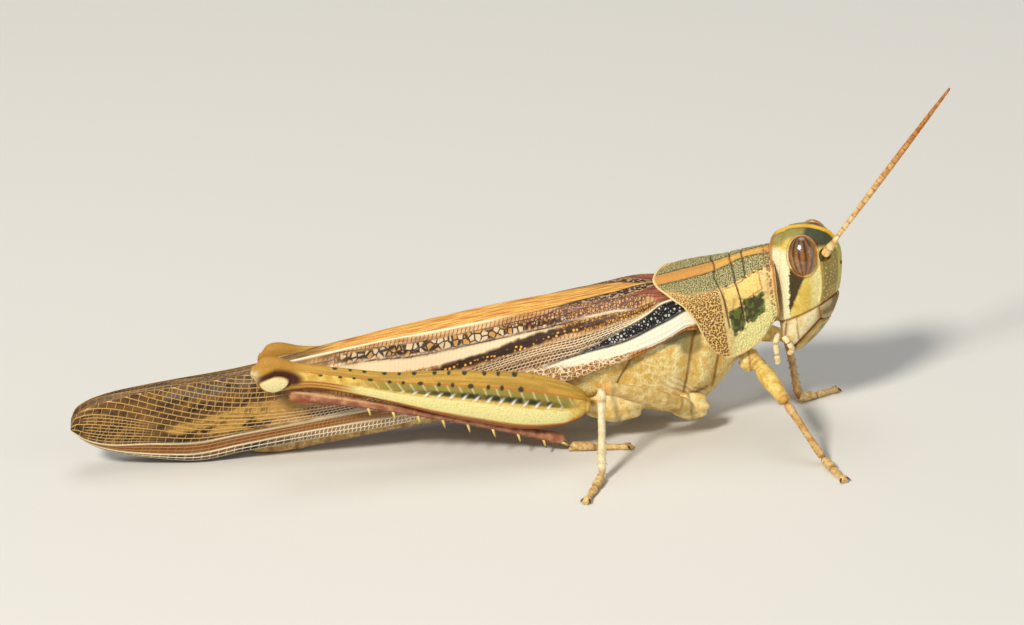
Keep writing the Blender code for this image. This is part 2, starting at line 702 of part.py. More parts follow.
def make_walking_leg(kind, side_name, collection):
    side = SIDES[side_name]
    route = MID_LEG if kind == "mid" else FRONT_LEG[side_name]
    hip, knee, ankle = (sided(point, side) for point in route)
    thigh_line = (knee - hip).normalized()
    shin_line = (ankle - knee).normalized()
    name = f"{kind}_{side_name}"
    thigh = limb(hip, knee, round_stations(WALKING_THIGH))
    add_piece(f"femur_{name}", thigh, BUFF, collection)
    shin_start = knee + shin_line * WALKING_SHIN_START[0] + thigh_line * WALKING_SHIN_START[1]
    shin = limb(shin_start, ankle, round_stations(WALKING_SHIN))
    add_piece(f"tibia_{name}", shin, CREAM, collection)
    heading = FOOT_HEADING[kind, side_name]
    start = ankle + Vector((math.cos(heading), math.sin(heading), 0.0)) * WALKING_FOOT_START
    make_foot(f"tarsus_{name}", start, heading, FOOT_LENGTH[kind], collection)


def shin_centre(side_name, t):
    """The hind shin's middle line, hugging the underside of the thigh, from knee to ankle."""
    side = SIDES[side_name]
    top = sided(HIND_SHIN_TOP[side_name], side)
    bend = sided(HIND_SHIN_BEND[side_name], side)
    ankle = sided(HIND_ANKLE, side)
    lift = (bend - (top + ankle) / 2) * 2
    return top.lerp(ankle, t) + lift * (2 * t * (1 - t))


def make_hind_shin(side_name, collection, cutters):
    last = HIND_SHIN_STEPS
    route = [shin_centre(side_name, t) for t in spread(0.0, 1.0, last)]
    rings = []
    for i, centre in enumerate(route):
        ahead = (route[min(i + 1, last)] - route[max(i - 1, 0)]).normalized()
        head = HIND_SHIN_HEAD * max(0.0, 1.0 - i / last / HIND_SHIN_HEAD_SHARE)
        radius = (HIND_SHIN_RADIUS + head) * (HIND_SHIN_END_SHARE if i in (0, last) else 1.0)
        rings.append(leg_ring(centre, ahead, radius, radius))
    shin = add_piece(f"tibia_hind_{side_name}", loft(rings), SHIN_RED, collection)
    add_shin_spines(shin, side_name, cutters)
    return shin


def add_shin_spines(shin, side_name, cutters):
    """Two rows of spines on the side that faces the floor, joined to the shin."""
    radius, length = SPINE_SIZE
    spines = bmesh.new()
    for row in (-1, 1):
        for t in spread(*SPINE_SPAN, SPINE_COUNT - 1):
            root = shin_centre(side_name, t + SPINE_ROW_STAGGER * row)
            lean = Vector((SPINE_LEAN[0], SPINE_LEAN[1] * row, SPINE_LEAN[2])).normalized()
            turn = lean.to_track_quat("Z", "Y").to_matrix().to_4x4()
            middle = root + lean * (HIND_SHIN_RADIUS * SPINE_ROOTED + length / 2)
            bmesh.ops.create_cone(
                spines, cap_ends=True, segments=SPINE_SIDES,
                radius1=radius, radius2=radius * SPINE_TIP_SHARE,
                depth=length, matrix=Matrix.Translation(middle) @ turn,
            )
    combine(shin, add_piece(f"spines_{side_name}", spines, SHIN_RED, cutters), "UNION")


def make_hind_leg(side_name, collection, cutters):
    side = SIDES[side_name]
    hip = sided(HIND_HIP, side)
    knee = sided(HIND_KNEE[side_name], side)
    thigh = add_piece(f"femur_hind_{side_name}", limb(hip, knee, HIND_THIGH), OLIVE, collection)
    carve(thigh, make_hind_shin(side_name, collection, cutters), cutters, SOCKET_GAP)
    heading = FOOT_HEADING["hind", side_name]
    ankle = sided(HIND_ANKLE, side)
    start = ankle + Vector((HIND_FOOT_START, 0.0, 0.0))
    make_foot(f"tarsus_hind_{side_name}", start, heading, FOOT_LENGTH["hind"], collection)


def make_locust():
    clear_scene()
    collection = new_collection("bombay_locust")
    cutters = new_collection("cutters")
    trunk = make_trunk(collection)
    add_throat_spur(trunk["prothorax"], cutters)
    make_pronotum(collection)
    make_head(collection, cutters)
    host = {"front": ("prothorax",), "mid": ("mesothorax",), "hind": ("mesothorax", "metathorax")}
    for side_name in SIDES:
        for kind, holders in host.items():
            coxa = make_coxa(kind, side_name, collection)
            for holder in holders:
                carve(trunk[holder], coxa, cutters)
        make_walking_leg("front", side_name, collection)
        make_walking_leg("mid", side_name, collection)
        make_hind_leg(side_name, collection, cutters)
        make_fore_wing(side_name, collection)
        make_hind_wing(side_name, collection)


make_locust()
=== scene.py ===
"""Bombay locust, adult female, at rest: the finished surface over the fixed frame.

Shapes are written in millimetres with x counted from the middle of the body, as the solids are.
They become metres in the frame when a mesh is made.
"""
import math

import bmesh
import bpy
import numpy as np
from mathutils import Matrix, Vector


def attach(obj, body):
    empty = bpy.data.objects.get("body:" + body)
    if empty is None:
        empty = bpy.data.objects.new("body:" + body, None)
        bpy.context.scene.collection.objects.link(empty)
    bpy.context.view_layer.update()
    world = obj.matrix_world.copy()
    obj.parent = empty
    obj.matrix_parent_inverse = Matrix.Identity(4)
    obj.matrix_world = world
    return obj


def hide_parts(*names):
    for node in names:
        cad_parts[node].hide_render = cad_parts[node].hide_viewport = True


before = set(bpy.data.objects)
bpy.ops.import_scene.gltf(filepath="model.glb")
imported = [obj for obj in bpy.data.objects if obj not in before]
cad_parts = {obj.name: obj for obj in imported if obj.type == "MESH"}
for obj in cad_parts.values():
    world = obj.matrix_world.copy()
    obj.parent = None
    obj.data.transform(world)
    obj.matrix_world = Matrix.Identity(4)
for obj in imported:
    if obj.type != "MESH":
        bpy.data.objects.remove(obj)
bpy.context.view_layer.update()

MM = 0.001
BODY = "root"
MIDDLE = np.array((0.65, 0.0, 0.0))
SIDES = {"right": -1, "left": 1}
DRAFT = 1.0
UP = np.array((0.0, 0.0, 1.0))
# The shield and the fore wings are walls with two faces; the outer face takes this share of the rows.
OUTER_FACE = 0.8

# Trunk: x, top, underside, half width.
TRUNK = (
    (25.5, 16.4, 10.2, 2.3),
    (23.0, 16.1, 7.4, 3.2),
    (20.5, 15.4, 4.2, 3.4),
    (18.0, 14.0, 1.9, 3.6),
    (15.5, 13.2, 1.2, 3.95),
    (12.5, 13.0, 1.9, 4.1),
    (9.0, 12.8, 2.8, 3.9),
    (5.5, 12.4, 3.1, 3.4),
    (2.0, 12.0, 2.9, 3.05),
    (-4.0, 11.0, 2.4, 2.85),
    (-10.0, 9.6, 1.9, 2.6),
    (-16.0, 7.9, 1.1, 2.2),
    (-21.0, 6.2, 0.4, 1.8),
    (-24.5, 4.8, 0.0, 1.6),
    (-27.0, 3.7, 0.15, 1.2),
    (-28.6, 2.7, 0.9, 0.55),
)
TRUNK_WIDEST = 0.56
TRUNK_SQUARENESS = 2.35
ABDOMEN_END_X = -28.5
WAIST_X = 4.6
NECK_X = 20.3
PROTHORAX_FRONT_X = 27.1
# Where one abdominal ring overlaps the next.
ABDOMEN_JOINTS = (0.6, -3.6, -7.8, -12.0, -16.0, -19.6, -22.8, -25.4)
THROAT_SPUR = ((22.7, 0.0, 8.4), (22.4, 0.0, 6.3))
THROAT_SPUR_RADII = (0.62, 0.42)

# Pronotum, followed from the ridge (0) down to the lower edge (1) on each side.
PRONOTUM_TOP = ((14.2, 15.5), (17.5, 16.1), (20.5, 16.75), (23.2, 17.7), (25.9, 18.2))
PRONOTUM_HALF_WIDTH = ((14.2, 4.5), (17.3, 5.0), (20.5, 4.75), (23.0, 4.2), (25.9, 3.95))
PRONOTUM_SHOULDER_DROP = ((14.2, 1.3), (20.5, 2.0), (23.0, 3.0), (25.9, 3.6))
PRONOTUM_SQUARENESS = ((14.2, 3.2), (19.0, 2.9), (22.0, 2.2), (25.9, 2.1))
PRONOTUM_LOWER_EDGE = ((16.0, 9.6), (20.3, 8.4), (22.4, 8.55), (24.6, 9.8), (26.1, 11.6))
PRONOTUM_HIND_EDGE = (
    (0.0, 14.2), (0.08, 14.55), (0.22, 15.3), (0.385, 16.05), (0.53, 16.9), (0.665, 17.95),
    (0.84, 18.9), (0.93, 19.7), (1.0, 21.1),
)
PRONOTUM_FRONT_EDGE = ((0.0, 26.2), (0.5, 26.3), (0.85, 26.4), (0.94, 25.8), (1.0, 24.3))
PRONOTUM_ARCH_SHARE = 0.55
PRONOTUM_TUCK_IN = 0.35

# Head in its own frame: x forward of the neck, z above the floor, turned towards its right side.
NECK = (26.35, 0.0, 15.0)
HEAD_TURN = math.radians(-18)
HEAD_TILT = math.radians(-4)
# Level rings of the head: height, back, front, half width.
HEAD = (
    (7.5, 1.5, 2.35, 0.8),
    (8.0, 1.15, 3.05, 1.6),
    (8.9, 0.85, 3.95, 2.3),
    (10.0, 0.6, 4.85, 2.75),
    (11.5, 0.45, 5.75, 3.15),
    (13.2, 0.3, 6.35, 3.4),
    (15.0, 0.2, 6.7, 3.5),
    (16.7, 0.1, 6.85, 3.5),
    (18.2, 0.0, 6.75, 3.3),
    (19.2, 0.2, 6.4, 2.9),
    (19.95, 0.8, 5.8, 2.3),
    (20.4, 1.7, 5.0, 1.5),
    (20.6, 2.8, 4.2, 0.6),
)
HEAD_SQUARENESS_FRONT = 1.75
HEAD_SQUARENESS_BACK = 2.3
# The eyes stand out further below than above, and their upper ends tilt back.
EYE_CENTRE = (3.6, 2.72, 18.42)
EYE_RADII = (1.46, 1.15, 1.98)
EYE_LEAN = math.radians(15)
EYE_TILT = math.radians(-8)
OCELLI = ((4.86, 1.95, 19.52), (4.86, -1.95, 19.52), (6.78, 0.0, 16.9))
OCELLUS_RADIUS = 0.2
# Planes that part the head from the mouth and the mouth plates from each other: a point and a
# normal, both as x and z.
CHEEK_LINE = ((3.4, 12.25), (0.5, -1.0))
CHIN_LINE = ((1.45, 9.5), (-0.98, 0.2))
FACE_LINE = ((5.1, 12.0), (1.0, 0.0))
LIP_LINE = ((4.9, 11.4), (0.35, 1.0))
JAW_LINE = ((3.93, 10.17), (0.764, -0.645))
ANTENNA_SOCKET = (5.6, 2.0, 18.3)
ANTENNA_TIP = (43.95, 35.4)
ANTENNA_TIP_LEAN = 0.6
ANTENNA_BOW = 0.05
# How far each feeler stands out at its root and its tip; for each millimetre out, the line also runs
# this far forwards and down.
ANTENNA_SPREAD = {"right": (0.0, 0.0), "left": (2.1, 6.2)}
SPREAD_FORWARD = 0.118
SPREAD_DROP = 0.415
ANTENNA_REACH = {"right": 1.0, "left": 0.93}
ANTENNA_JOINTS = 25
ANTENNA_RADIUS = (
    (0.0, 0.44), (0.035, 0.46), (0.06, 0.36), (0.085, 0.30), (0.11, 0.22), (0.2, 0.25), (0.5, 0.33),
    (0.75, 0.27), (0.95, 0.17), (1.0, 0.13),
)
PALP_RADII = {"maxillary": (0.30, 0.33, 0.30, 0.30), "labial": (0.3, 0.31, 0.29, 0.27)}
PALPS = {
    "maxillary": ((0.75, 2.15, 9.9), (0.6, 2.65, 8.8), (0.75, 2.8, 7.7), (0.8, 2.75, 6.7)),
    "labial": ((1.45, 2.76, 9.75), (2.0, 2.9, 9.1), (2.38, 2.68, 8.35), (1.85, 2.35, 7.7)),
}

# Fore wings: inner edge, fold between the flat and the upright field, lower edge.
WING_BASE_X = 18.2
WING_TIP_X = -45.2
WING_TOP = (
    (17.0, 15.25), (15.4, 15.28), (14.2, 15.3), (13.1, 15.32), (11.5, 15.3), (9.0, 15.2), (4.5, 14.95),
    (-1.1, 14.3), (-11.3, 12.65), (-18.4, 11.3), (-27.6, 9.5), (-37.0, 8.4), (-42.0, 7.5), (-44.4, 6.4),
    (-45.2, 5.2),
)
WING_FOLD_Y = (
    (17.0, 3.3), (13.0, 3.1), (9.0, 2.7), (4.8, 2.2), (-1.0, 1.8), (-8.0, 1.45), (-15.0, 1.1),
    (-22.0, 1.05), (-45.2, 0.95),
)
WING_FOLD_DROP = (
    (17.0, 0.4), (14.5, 0.22), (12.5, 0.15), (9.0, 0.45), (4.8, 0.75), (-1.0, 0.8), (-8.0, 0.75),
    (-15.0, 0.6), (-22.0, 0.5), (-45.2, 0.3),
)
WING_LOW = (
    (17.0, 11.7), (12.0, 9.6), (8.0, 8.3), (5.8, 7.4), (0.0, 5.9), (-12.5, 3.4), (-21.6, 2.1),
    (-28.2, 1.1), (-32.6, 0.4), (-37.0, 0.9), (-41.0, 1.8), (-43.6, 3.0), (-45.2, 4.6),
)
WING_LOW_Y = (
    (17.0, 3.95), (12.0, 4.7), (8.0, 4.5), (4.0, 3.95), (0.0, 3.65), (-10.0, 3.3), (-20.0, 2.55),
    (-28.0, 1.9), (-36.0, 1.5), (-45.2, 1.1),
)
WING_FIELD_HEIGHT = ((17.0, 2.8), (8.0, 6.9), (0.0, 8.6), (-15.0, 8.6), (-30.0, 8.0), (-45.2, 1.5))
WING_BULGE = 0.2
WING_WALL = 0.3
# The right wing lies over the left one along the middle of the back.
WING_INNER_Y = {"right": -0.12, "left": 0.0}
WING_TUCK = {"right": 0.0, "left": 0.34}
HIND_WING_SPAN = (-20.5, -42.0)
HIND_WING_Y = 0.4

# Main veins of the fore wing: row number, then x and the share from the fold (0) to the edge (1).
# The flat field lies from -1 at its inner edge to 0 at the fold.
WING_VEINS = {
    0: ((17.0, -1.0), (-45.2, -1.0)),
    4: ((17.0, -0.88), (14.6, -0.88), (12.6, -0.74), (10.6, -0.48), (7.8, -0.29), (5.4, -0.15),
        (2.8, -0.04), (-8.0, 0.0), (-19.0, -0.1), (-30.0, -0.45), (-40.0, -0.85), (-45.2, -0.95)),
    7: ((17.0, -0.15), (14.8, 0.02), (12.4, 0.15), (10.0, 0.14), (7.6, 0.155), (2.6, 0.2), (-9.6, 0.22),
        (-15.0, 0.16), (-26.8, 0.1), (-36.0, -0.3), (-45.2, -0.8)),
    9: ((17.0, -0.08), (14.8, 0.09), (13.4, 0.24), (11.0, 0.32), (7.6, 0.38), (2.6, 0.41), (-5.0, 0.5),
        (-14.0, 0.57), (-22.0, 0.55), (-28.8, 0.42), (-36.0, 0.12), (-41.0, -0.25), (-45.2, -0.5)),
    13: ((17.0, 0.0), (14.8, 0.14), (13.2, 0.31), (10.8, 0.43), (7.0, 0.52), (2.4, 0.53), (-5.0, 0.61),
         (-14.0, 0.67), (-22.0, 0.7), (-30.6, 0.6), (-37.4, 0.4), (-44.0, 0.1), (-45.2, 0.0)),
    16: ((17.0, 0.33), (15.8, 0.44), (14.2, 0.52), (12.0, 0.6), (9.6, 0.63), (6.6, 0.63), (2.4, 0.66),
         (-5.0, 0.7), (-19.0, 0.74), (-31.0, 0.74), (-38.0, 0.76), (-42.0, 0.84), (-45.2, 0.88)),
    19: ((17.0, 0.76), (15.0, 0.86), (12.0, 0.84), (8.4, 0.84), (3.0, 0.87), (-5.0, 0.89),
         (-19.0, 0.87), (-32.0, 0.89), (-38.0, 0.92), (-45.2, 0.95)),
    21: ((17.0, 1.0), (-45.2, 1.0)),
}

# Fore wing colour fields: upper and lower edges, each as x and share.
WING_FIELDS = {
    "black_net": (
        ((18, -0.2), (16.4, 0.02), (14.8, 0.13), (13.2, 0.32), (10.8, 0.44), (8.5, 0.54), (6, 0.60)),
        ((18, 0.26), (17, 0.33), (15.8, 0.44), (14.2, 0.52), (12, 0.60), (9.6, 0.63), (6, 0.62)),
    ),
    "cream": (
        ((18, 0.26), (17, 0.33), (15.8, 0.45), (14.2, 0.53), (12, 0.61), (9.6, 0.64), (6, 0.63), (2, 0.70)),
        ((18, 0.80), (15, 0.93), (11.8, 0.86), (8, 0.81), (4.8, 0.75), (2, 0.70)),
    ),
    "amber_net": (
        ((13.6, 0.1), (12.4, 0.16), (10, 0.15), (7.6, 0.16), (4, 0.2)),
        ((13.6, 0.2), (12.4, 0.28), (10, 0.34), (7.6, 0.34), (4, 0.24)),
    ),
    "dark_patch": (
        ((10, 0.20), (7.6, 0.21), (5.2, 0.22), (1, 0.26), (-2.8, 0.34), (-6.6, 0.38), (-11, 0.46)),
        ((10, 0.24), (7.6, 0.30), (5.2, 0.33), (1, 0.41), (-2.8, 0.46), (-6.6, 0.47), (-11, 0.47)),
    ),
    "pale_band": (
        ((7, 0.18), (1, 0.205), (-9.6, 0.22), (-15, 0.16), (-24, 0.1)),
        ((7, 0.20), (1, 0.26), (-2.8, 0.34), (-6.6, 0.38), (-15, 0.34), (-24, 0.2)),
    ),
    "rings": (
        ((5, 0.08), (-4, 0.08), (-12, 0.05), (-18, 0.03), (-24, 0.0)),
        ((5, 0.18), (-4, 0.21), (-9, 0.21), (-13, 0.16), (-18, 0.12), (-24, 0.1)),
    ),
    "blood": (
        ((18, -0.70), (14.8, -0.64), (13.6, -0.52), (12, -0.26), (10.5, -0.1)),
        ((18, -0.22), (16.4, 0.0), (14.8, 0.04), (13.6, -0.05), (12, -0.18), (10.5, -0.1)),
    ),
    "tan_net": (
        ((13.6, -0.2), (12, -0.24), (10.6, -0.17), (7.8, -0.11), (5, -0.04), (2, 0.04), (-2, 0.06)),
        ((13.6, -0.05), (12.4, 0.15), (10, 0.14), (7.6, 0.155), (5, 0.18), (2, 0.16), (-2, 0.08)),
    ),
    "shoulder_line": (
        ((18, -0.88), (14.6, -0.88), (12.6, -0.73), (10.6, -0.47), (7.8, -0.28), (5.4, -0.14), (1, -0.02)),
        ((18, -0.66), (14.8, -0.66), (13.6, -0.54), (10.6, -0.16), (7.8, -0.12), (5.4, -0.08), (1, -0.02)),
    ),
    # tan_highlight is a painted highlight on the smoky tip.
    "tan_highlight": (
        ((-18, 0.45), (-24, 0.38), (-30, 0.40), (-36, 0.52)),
        ((-18, 0.66), (-24, 0.7), (-30, 0.66), (-36, 0.6)),
    ),
    "sheen": (
        ((-24, 0.02), (-30, 0.0), (-36, 0.05)), ((-24, 0.12), (-30, 0.16), (-36, 0.12)),
    ),
}

# Legs: hip, knee and ankle, then stations along each length.
HIND_HIP = (7.1, 5.9, 5.25)
HIND_KNEE = {"right": (-26.4, 4.6, 10.85), "left": (-26.2, 4.6, 7.75)}
HIND_THIGH_LENGTH = 34.0
RIB_SPACING = 1.25
THIGH_DOT_SPACING = 1.68
# Hind thigh: share of the length from hip to knee, half depth, half thickness, lift.
HIND_THIGH = (
    (0.00, 0.90, 0.50, 0.0),
    (0.012, 1.42, 0.80, 0.0),
    (0.03, 1.80, 1.10, -0.05),
    (0.07, 2.40, 1.35, -0.15),
    (0.18, 3.05, 1.50, -0.18),
    (0.32, 2.80, 1.45, -0.12),
    (0.46, 2.30, 1.25, -0.06),
    (0.60, 1.61, 1.00, 0.05),
    (0.74, 1.31, 0.85, 0.36),
    (0.82, 1.26, 0.80, 0.44),
    (0.88, 1.51, 0.90, 0.31),
    (0.94, 2.00, 1.05, 0.23),
    (0.98, 1.72, 0.90, 0.28),
    (1.00, 0.85, 0.45, 0.30),
)
HIND_SHIN_TOP = {"right": (-22.8, 4.4, 8.35), "left": (-22.6, 4.4, 5.4)}
HIND_SHIN_BEND = {"right": (-9.4, 4.8, 5.2), "left": (-9.4, 4.8, 4.0)}
HIND_ANKLE = (4.3, 5.2, 1.5)
HIND_SHIN_RADIUS = 0.56
SPINE_COUNT = 8
SPINE_SPAN = (0.30, 0.93)
SPINE_LENGTH = 1.0
SPINE_LEAN = (0.25, 0.62, -0.85)
SPUR_LENGTHS = (0.675, 0.9)
COXA_CENTRES = {"front": (23.3, 2.75, 7.3), "mid": (17.1, 3.9, 3.25), "hind": (9.6, 3.8, 3.95)}
COXA_RADII = {"front": (1.15, 0.9, 1.3), "mid": (2.0, 1.1, 1.5), "hind": (3.2, 1.2, 1.85)}
MID_LEG = ((16.4, 5.35, 4.2), (8.2, 9.0, 8.7), (7.6, 12.3, 0.75))
FRONT_LEG = {
    "right": ((24.1, 4.2, 7.45), (26.2, 10.0, 5.9), (29.5, 12.4, 0.75)),
    "left": ((24.3, 4.1, 7.2), (27.9, 7.0, 5.0), (28.4, 1.4, 0.75)),
}
WALKING_THIGH = (
    (0.0, 0.45), (0.05, 0.72), (0.13, 0.74), (0.17, 0.62), (0.3, 0.86), (0.5, 0.9), (0.75, 0.76),
    (0.9, 0.66), (0.96, 0.72), (1.0, 0.4),
)
WALKING_SHIN = ((0.0, 0.42), (0.08, 0.5), (0.2, 0.42), (0.6, 0.38), (0.93, 0.42), (1.0, 0.3))
WALKING_SPINE_COUNT = 6
WALKING_SPINE_SPAN = (0.35, 0.95)
WALKING_SPINE_LENGTH = 0.42
# How far one length of a leg runs into the next, so that the joints look whole.
KNEE_OVERLAP = 0.1
HIP_OVERLAP = 0.9
ANKLE_OVERLAP = 0.25
# Foot: share of the length from ankle to claws, half width, height.
FOOT = (
    (0.00, 0.30, 0.60), (0.08, 0.42, 0.95), (0.35, 0.46, 0.80), (0.42, 0.34, 0.60),
    (0.50, 0.42, 0.66), (0.80, 0.30, 0.55), (0.90, 0.45, 0.65), (1.00, 0.30, 0.35),
)
FOOT_LENGTH = {"front": 4.7, "mid": 5.1, "hind": 6.4}
FOOT_START = {"front": 0.05, "mid": 0.05, "hind": 0.35}
FOOT_HEADING = {
    ("front", "right"): math.radians(-70),
    ("front", "left"): math.radians(25),
    ("mid", "right"): math.radians(-112),
    ("mid", "left"): math.radians(112),
    ("hind", "right"): math.radians(-6),
    ("hind", "left"): math.radians(6),
}


# Curves and patterns, all in millimetres.
def smooth(stations, x):
    """Values at x of the smooth curve through stations of (x, value)."""
    knots = np.array(sorted(stations), float)
    at, value = knots[:, 0], knots[:, 1]
    last = len(at) - 1
    ahead = np.minimum(np.arange(last + 1) + 1, last)
    behind = np.maximum(np.arange(last + 1) - 1, 0)
    slope = (value[ahead] - value[behind]) / (at[ahead] - at[behind])
    x = np.clip(x, at[0], at[-1])
    i = np.clip(np.searchsorted(at, x, side="right") - 1, 0, last - 1)
    span = at[i + 1] - at[i]
    t = (x - at[i]) / span
    return (
        value[i] * (2 * t**3 - 3 * t**2 + 1)
        + slope[i] * span * (t**3 - 2 * t**2 + t)
        + value[i + 1] * (3 * t**2 - 2 * t**3)
        + slope[i + 1] * span * (t**3 - t**2)
    )


def column(rows, index):
    """The first value of each row paired with the one at index."""
    return [(row[0], row[index]) for row in rows]


def rounded(value, squareness):
    """A sine or cosine turned into a superellipse's."""
    return np.sign(value) * np.abs(value) ** (2 / squareness)


def bump(distance, width):
    """1 at no distance, falling smoothly to 0 over about twice the width."""
    return np.exp(-((distance / width) ** 2))


def step(value, start, end):
    """0 before start, 1 after end, smooth between."""
    t = np.clip((value - start) / (end - start), 0.0, 1.0)
    return t * t * (3 - 2 * t)


def scatter(i, j, seed=0.0):
    """A steady random number from 0 to 1 for each pair of whole numbers."""
    value = np.sin(i * 127.1 + j * 311.7 + seed * 74.7) * 43758.5453
    return value - np.floor(value)


def grain(x, y, seed=0.0):
    """Soft random hills and dips from 0 to 1, one unit apart."""
    i, j = np.floor(x), np.floor(y)
    s, t = step(x - i, 0, 1), step(y - j, 0, 1)
    low = scatter(i, j, seed) * (1 - s) + scatter(i + 1, j, seed) * s
    high = scatter(i, j + 1, seed) * (1 - s) + scatter(i + 1, j + 1, seed) * s
    return low * (1 - t) + high * t


def pits(x, y, seed=0.0):
    """How far each place is from the nearest of many scattered pit centres, one unit apart."""
    i, j = np.floor(x), np.floor(y)
    nearest = np.full_like(x, 9.0)
    for a in (-1, 0, 1):
        for b in (-1, 0, 1):
            cx = i + a + 0.5 + 0.75 * (scatter(i + a, j + b, seed) - 0.5)
            cy = j + b + 0.5 + 0.75 * (scatter(i + a, j + b, seed + 1) - 0.5)
            nearest = np.minimum(nearest, np.hypot(x - cx, y - cy))
    return nearest


def near_line(x, y, points):
    """Distance from each place to the broken line through the points."""
    nearest = np.full_like(x, 99.0)
    for (ax, ay), (bx, by) in zip(points, points[1:]):
        dx, dy = bx - ax, by - ay
        t = np.clip(((x - ax) * dx + (y - ay) * dy) / (dx * dx + dy * dy), 0, 1)
        nearest = np.minimum(nearest, np.hypot(x - ax - t * dx, y - ay - t * dy))
    return nearest


# From a grid or a ball to a finished piece. Points nearer than the gap are joined.
SEAM_GAP = 0.004


def bent_grid(columns, rows, place):
    """A flat grid bent by place(u, v), which gives millimetres; it keeps u and v as attributes."""
    bm = bmesh.new()
    bm.loops.layers.uv.new("surface")
    corner = Matrix.Translation((0.5, 0.5, 0.0))
    bmesh.ops.create_grid(
        bm, x_segments=round(columns * DRAFT), y_segments=round(rows * DRAFT), size=0.5,
        matrix=corner, calc_uvs=True,
    )
    mesh = mesh_of(bm, "grid")
    u, v = places(mesh)[:, :2].T
    put_places(mesh, place(u, v))
    mark(mesh, along=u, around=v)
    return mesh


def mesh_of(bm, name):
    """The shape built in bm as a mesh; bm is then let go."""
    mesh = bpy.data.meshes.new(name)
    bm.to_mesh(mesh)
    bm.free()
    return mesh


def ball(name, across, along):
    """A sphere of radius 1."""
    bm = bmesh.new()
    bmesh.ops.create_uvsphere(bm, u_segments=across, v_segments=along, radius=1.0)
    return mesh_of(bm, name)


def places(mesh):
    """The corner points of a mesh, one row each."""
    flat = np.empty(len(mesh.vertices) * 3)
    mesh.vertices.foreach_get("co", flat)
    return flat.reshape(-1, 3)


def put_places(mesh, points):
    """Moves the corner points of a mesh."""
    mesh.vertices.foreach_set("co", np.ascontiguousarray(points, float).ravel())


def mark(mesh, **marks):
    """Gives every corner point a number for each named marking."""
    for name, values in marks.items():
        layer = mesh.attributes.get(name) or mesh.attributes.new(name, "FLOAT", "POINT")
        layer.data.foreach_set("value", np.ascontiguousarray(values, np.float32))


def marked(mesh, name):
    """A marking laid on a mesh, one number for each corner point."""
    values = np.empty(len(mesh.vertices), np.float32)
    mesh.attributes[name].data.foreach_get("value", values)
    return values.astype(float)


def raised(base, relief, inwards=False):
    """The base surface pushed out along its own normal by relief(u, v, points) millimetres."""
    tiny = 1e-4
    turn = -1.0 if inwards else 1.0

    def place(u, v):
        points = base(u, v)
        long = base(u + tiny, v) - base(u - tiny, v)
        cross = base(u, v + tiny) - base(u, v - tiny)
        normal = np.cross(long, cross)
        size = np.maximum(np.linalg.norm(normal, axis=1, keepdims=True), 1e-12)
        return points + turn * normal / size * relief(u, v, points)[:, None]

    return place


def closed(mesh, cuts=()):
    """Joins seams and poles, cuts by planes of (point, normal to cut away) and turns faces outwards."""
    bm = bmesh.new()
    bm.from_mesh(mesh)
    bmesh.ops.remove_doubles(bm, verts=bm.verts, dist=SEAM_GAP)
    for point, normal in cuts:
        everything = bm.verts[:] + bm.edges[:] + bm.faces[:]
        cut = bmesh.ops.bisect_plane(
            bm, geom=everything, plane_co=point, plane_no=normal, clear_outer=True, dist=1e-4
        )
        rim = [item for item in cut["geom_cut"] if isinstance(item, bmesh.types.BMEdge)]
        if rim:
            bmesh.ops.edgeloop_fill(bm, edges=rim)
    bmesh.ops.recalc_face_normals(bm, faces=bm.faces)
    bm.to_mesh(mesh)
    bm.free()
    return mesh


def add_piece(name, mesh, finish, nodes=()):
    """The mesh, in millimetres, as a piece of the animal in the frame."""
    put_places(mesh, (places(mesh) + MIDDLE) * MM)
    mesh.name = name
    mesh.shade_smooth()
    mesh.materials.append(finish)
    piece = bpy.data.objects.new(name, mesh)
    bpy.context.scene.collection.objects.link(piece)
    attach(piece, BODY)
    if nodes:
        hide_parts(*nodes)
    return piece


def joined(meshes):
    """Several meshes as one."""
    bm = bmesh.new()
    for mesh in meshes:
        bm.from_mesh(mesh)
    return mesh_of(bm, "joined")


def turned(mesh, matrix):
    """The same mesh, turned and moved by a matrix."""
    mesh.transform(matrix)
    return mesh


def head_frame():
    """From the head's own frame to the body: turned and tilted about the neck."""
    pivot = Matrix.Translation(NECK)
    turn = Matrix.Rotation(HEAD_TURN, 4, "Z") @ Matrix.Rotation(HEAD_TILT, 4, "X")
    return pivot @ turn @ Matrix.Translation((0.0, 0.0, -NECK[2]))


def sided(point, side):
    """A point of the left side (1), or its mirror image on the right side (-1)."""
    return np.array((point[0], side * point[1], point[2]))


def tube(route, section):
    """A closed limb: route(t) gives centres, section(t, angle) how far out and up it reaches."""

    def place(u, v):
        angle = math.tau * v
        centre = route(u)
        ahead = route(u + 1e-3) - route(u - 1e-3)
        ahead /= np.linalg.norm(ahead, axis=1, keepdims=True)
        across = np.cross(ahead, UP)
        across /= np.maximum(np.linalg.norm(across, axis=1, keepdims=True), 1e-9)
        up = np.cross(across, ahead)
        out, high = section(u, angle)
        return centre + across * out[:, None] + up * high[:, None]

    return place


def straight(start, end):
    """A straight middle line from start to end."""
    start, end = np.array(start, float), np.array(end, float)
    return lambda t: start + (end - start) * np.asarray(t)[:, None]


def capped(u, share=0.02):
    """How far along a limb u is, and how much its rounded ends draw it in."""
    t = np.clip((u - share) / (1 - 2 * share), 0.0, 1.0)
    into = np.clip(np.minimum(u, 1 - u) / share, 0.0, 1.0)
    return t, np.sqrt(np.clip(1 - (1 - into) ** 2, 0.0, 1.0))


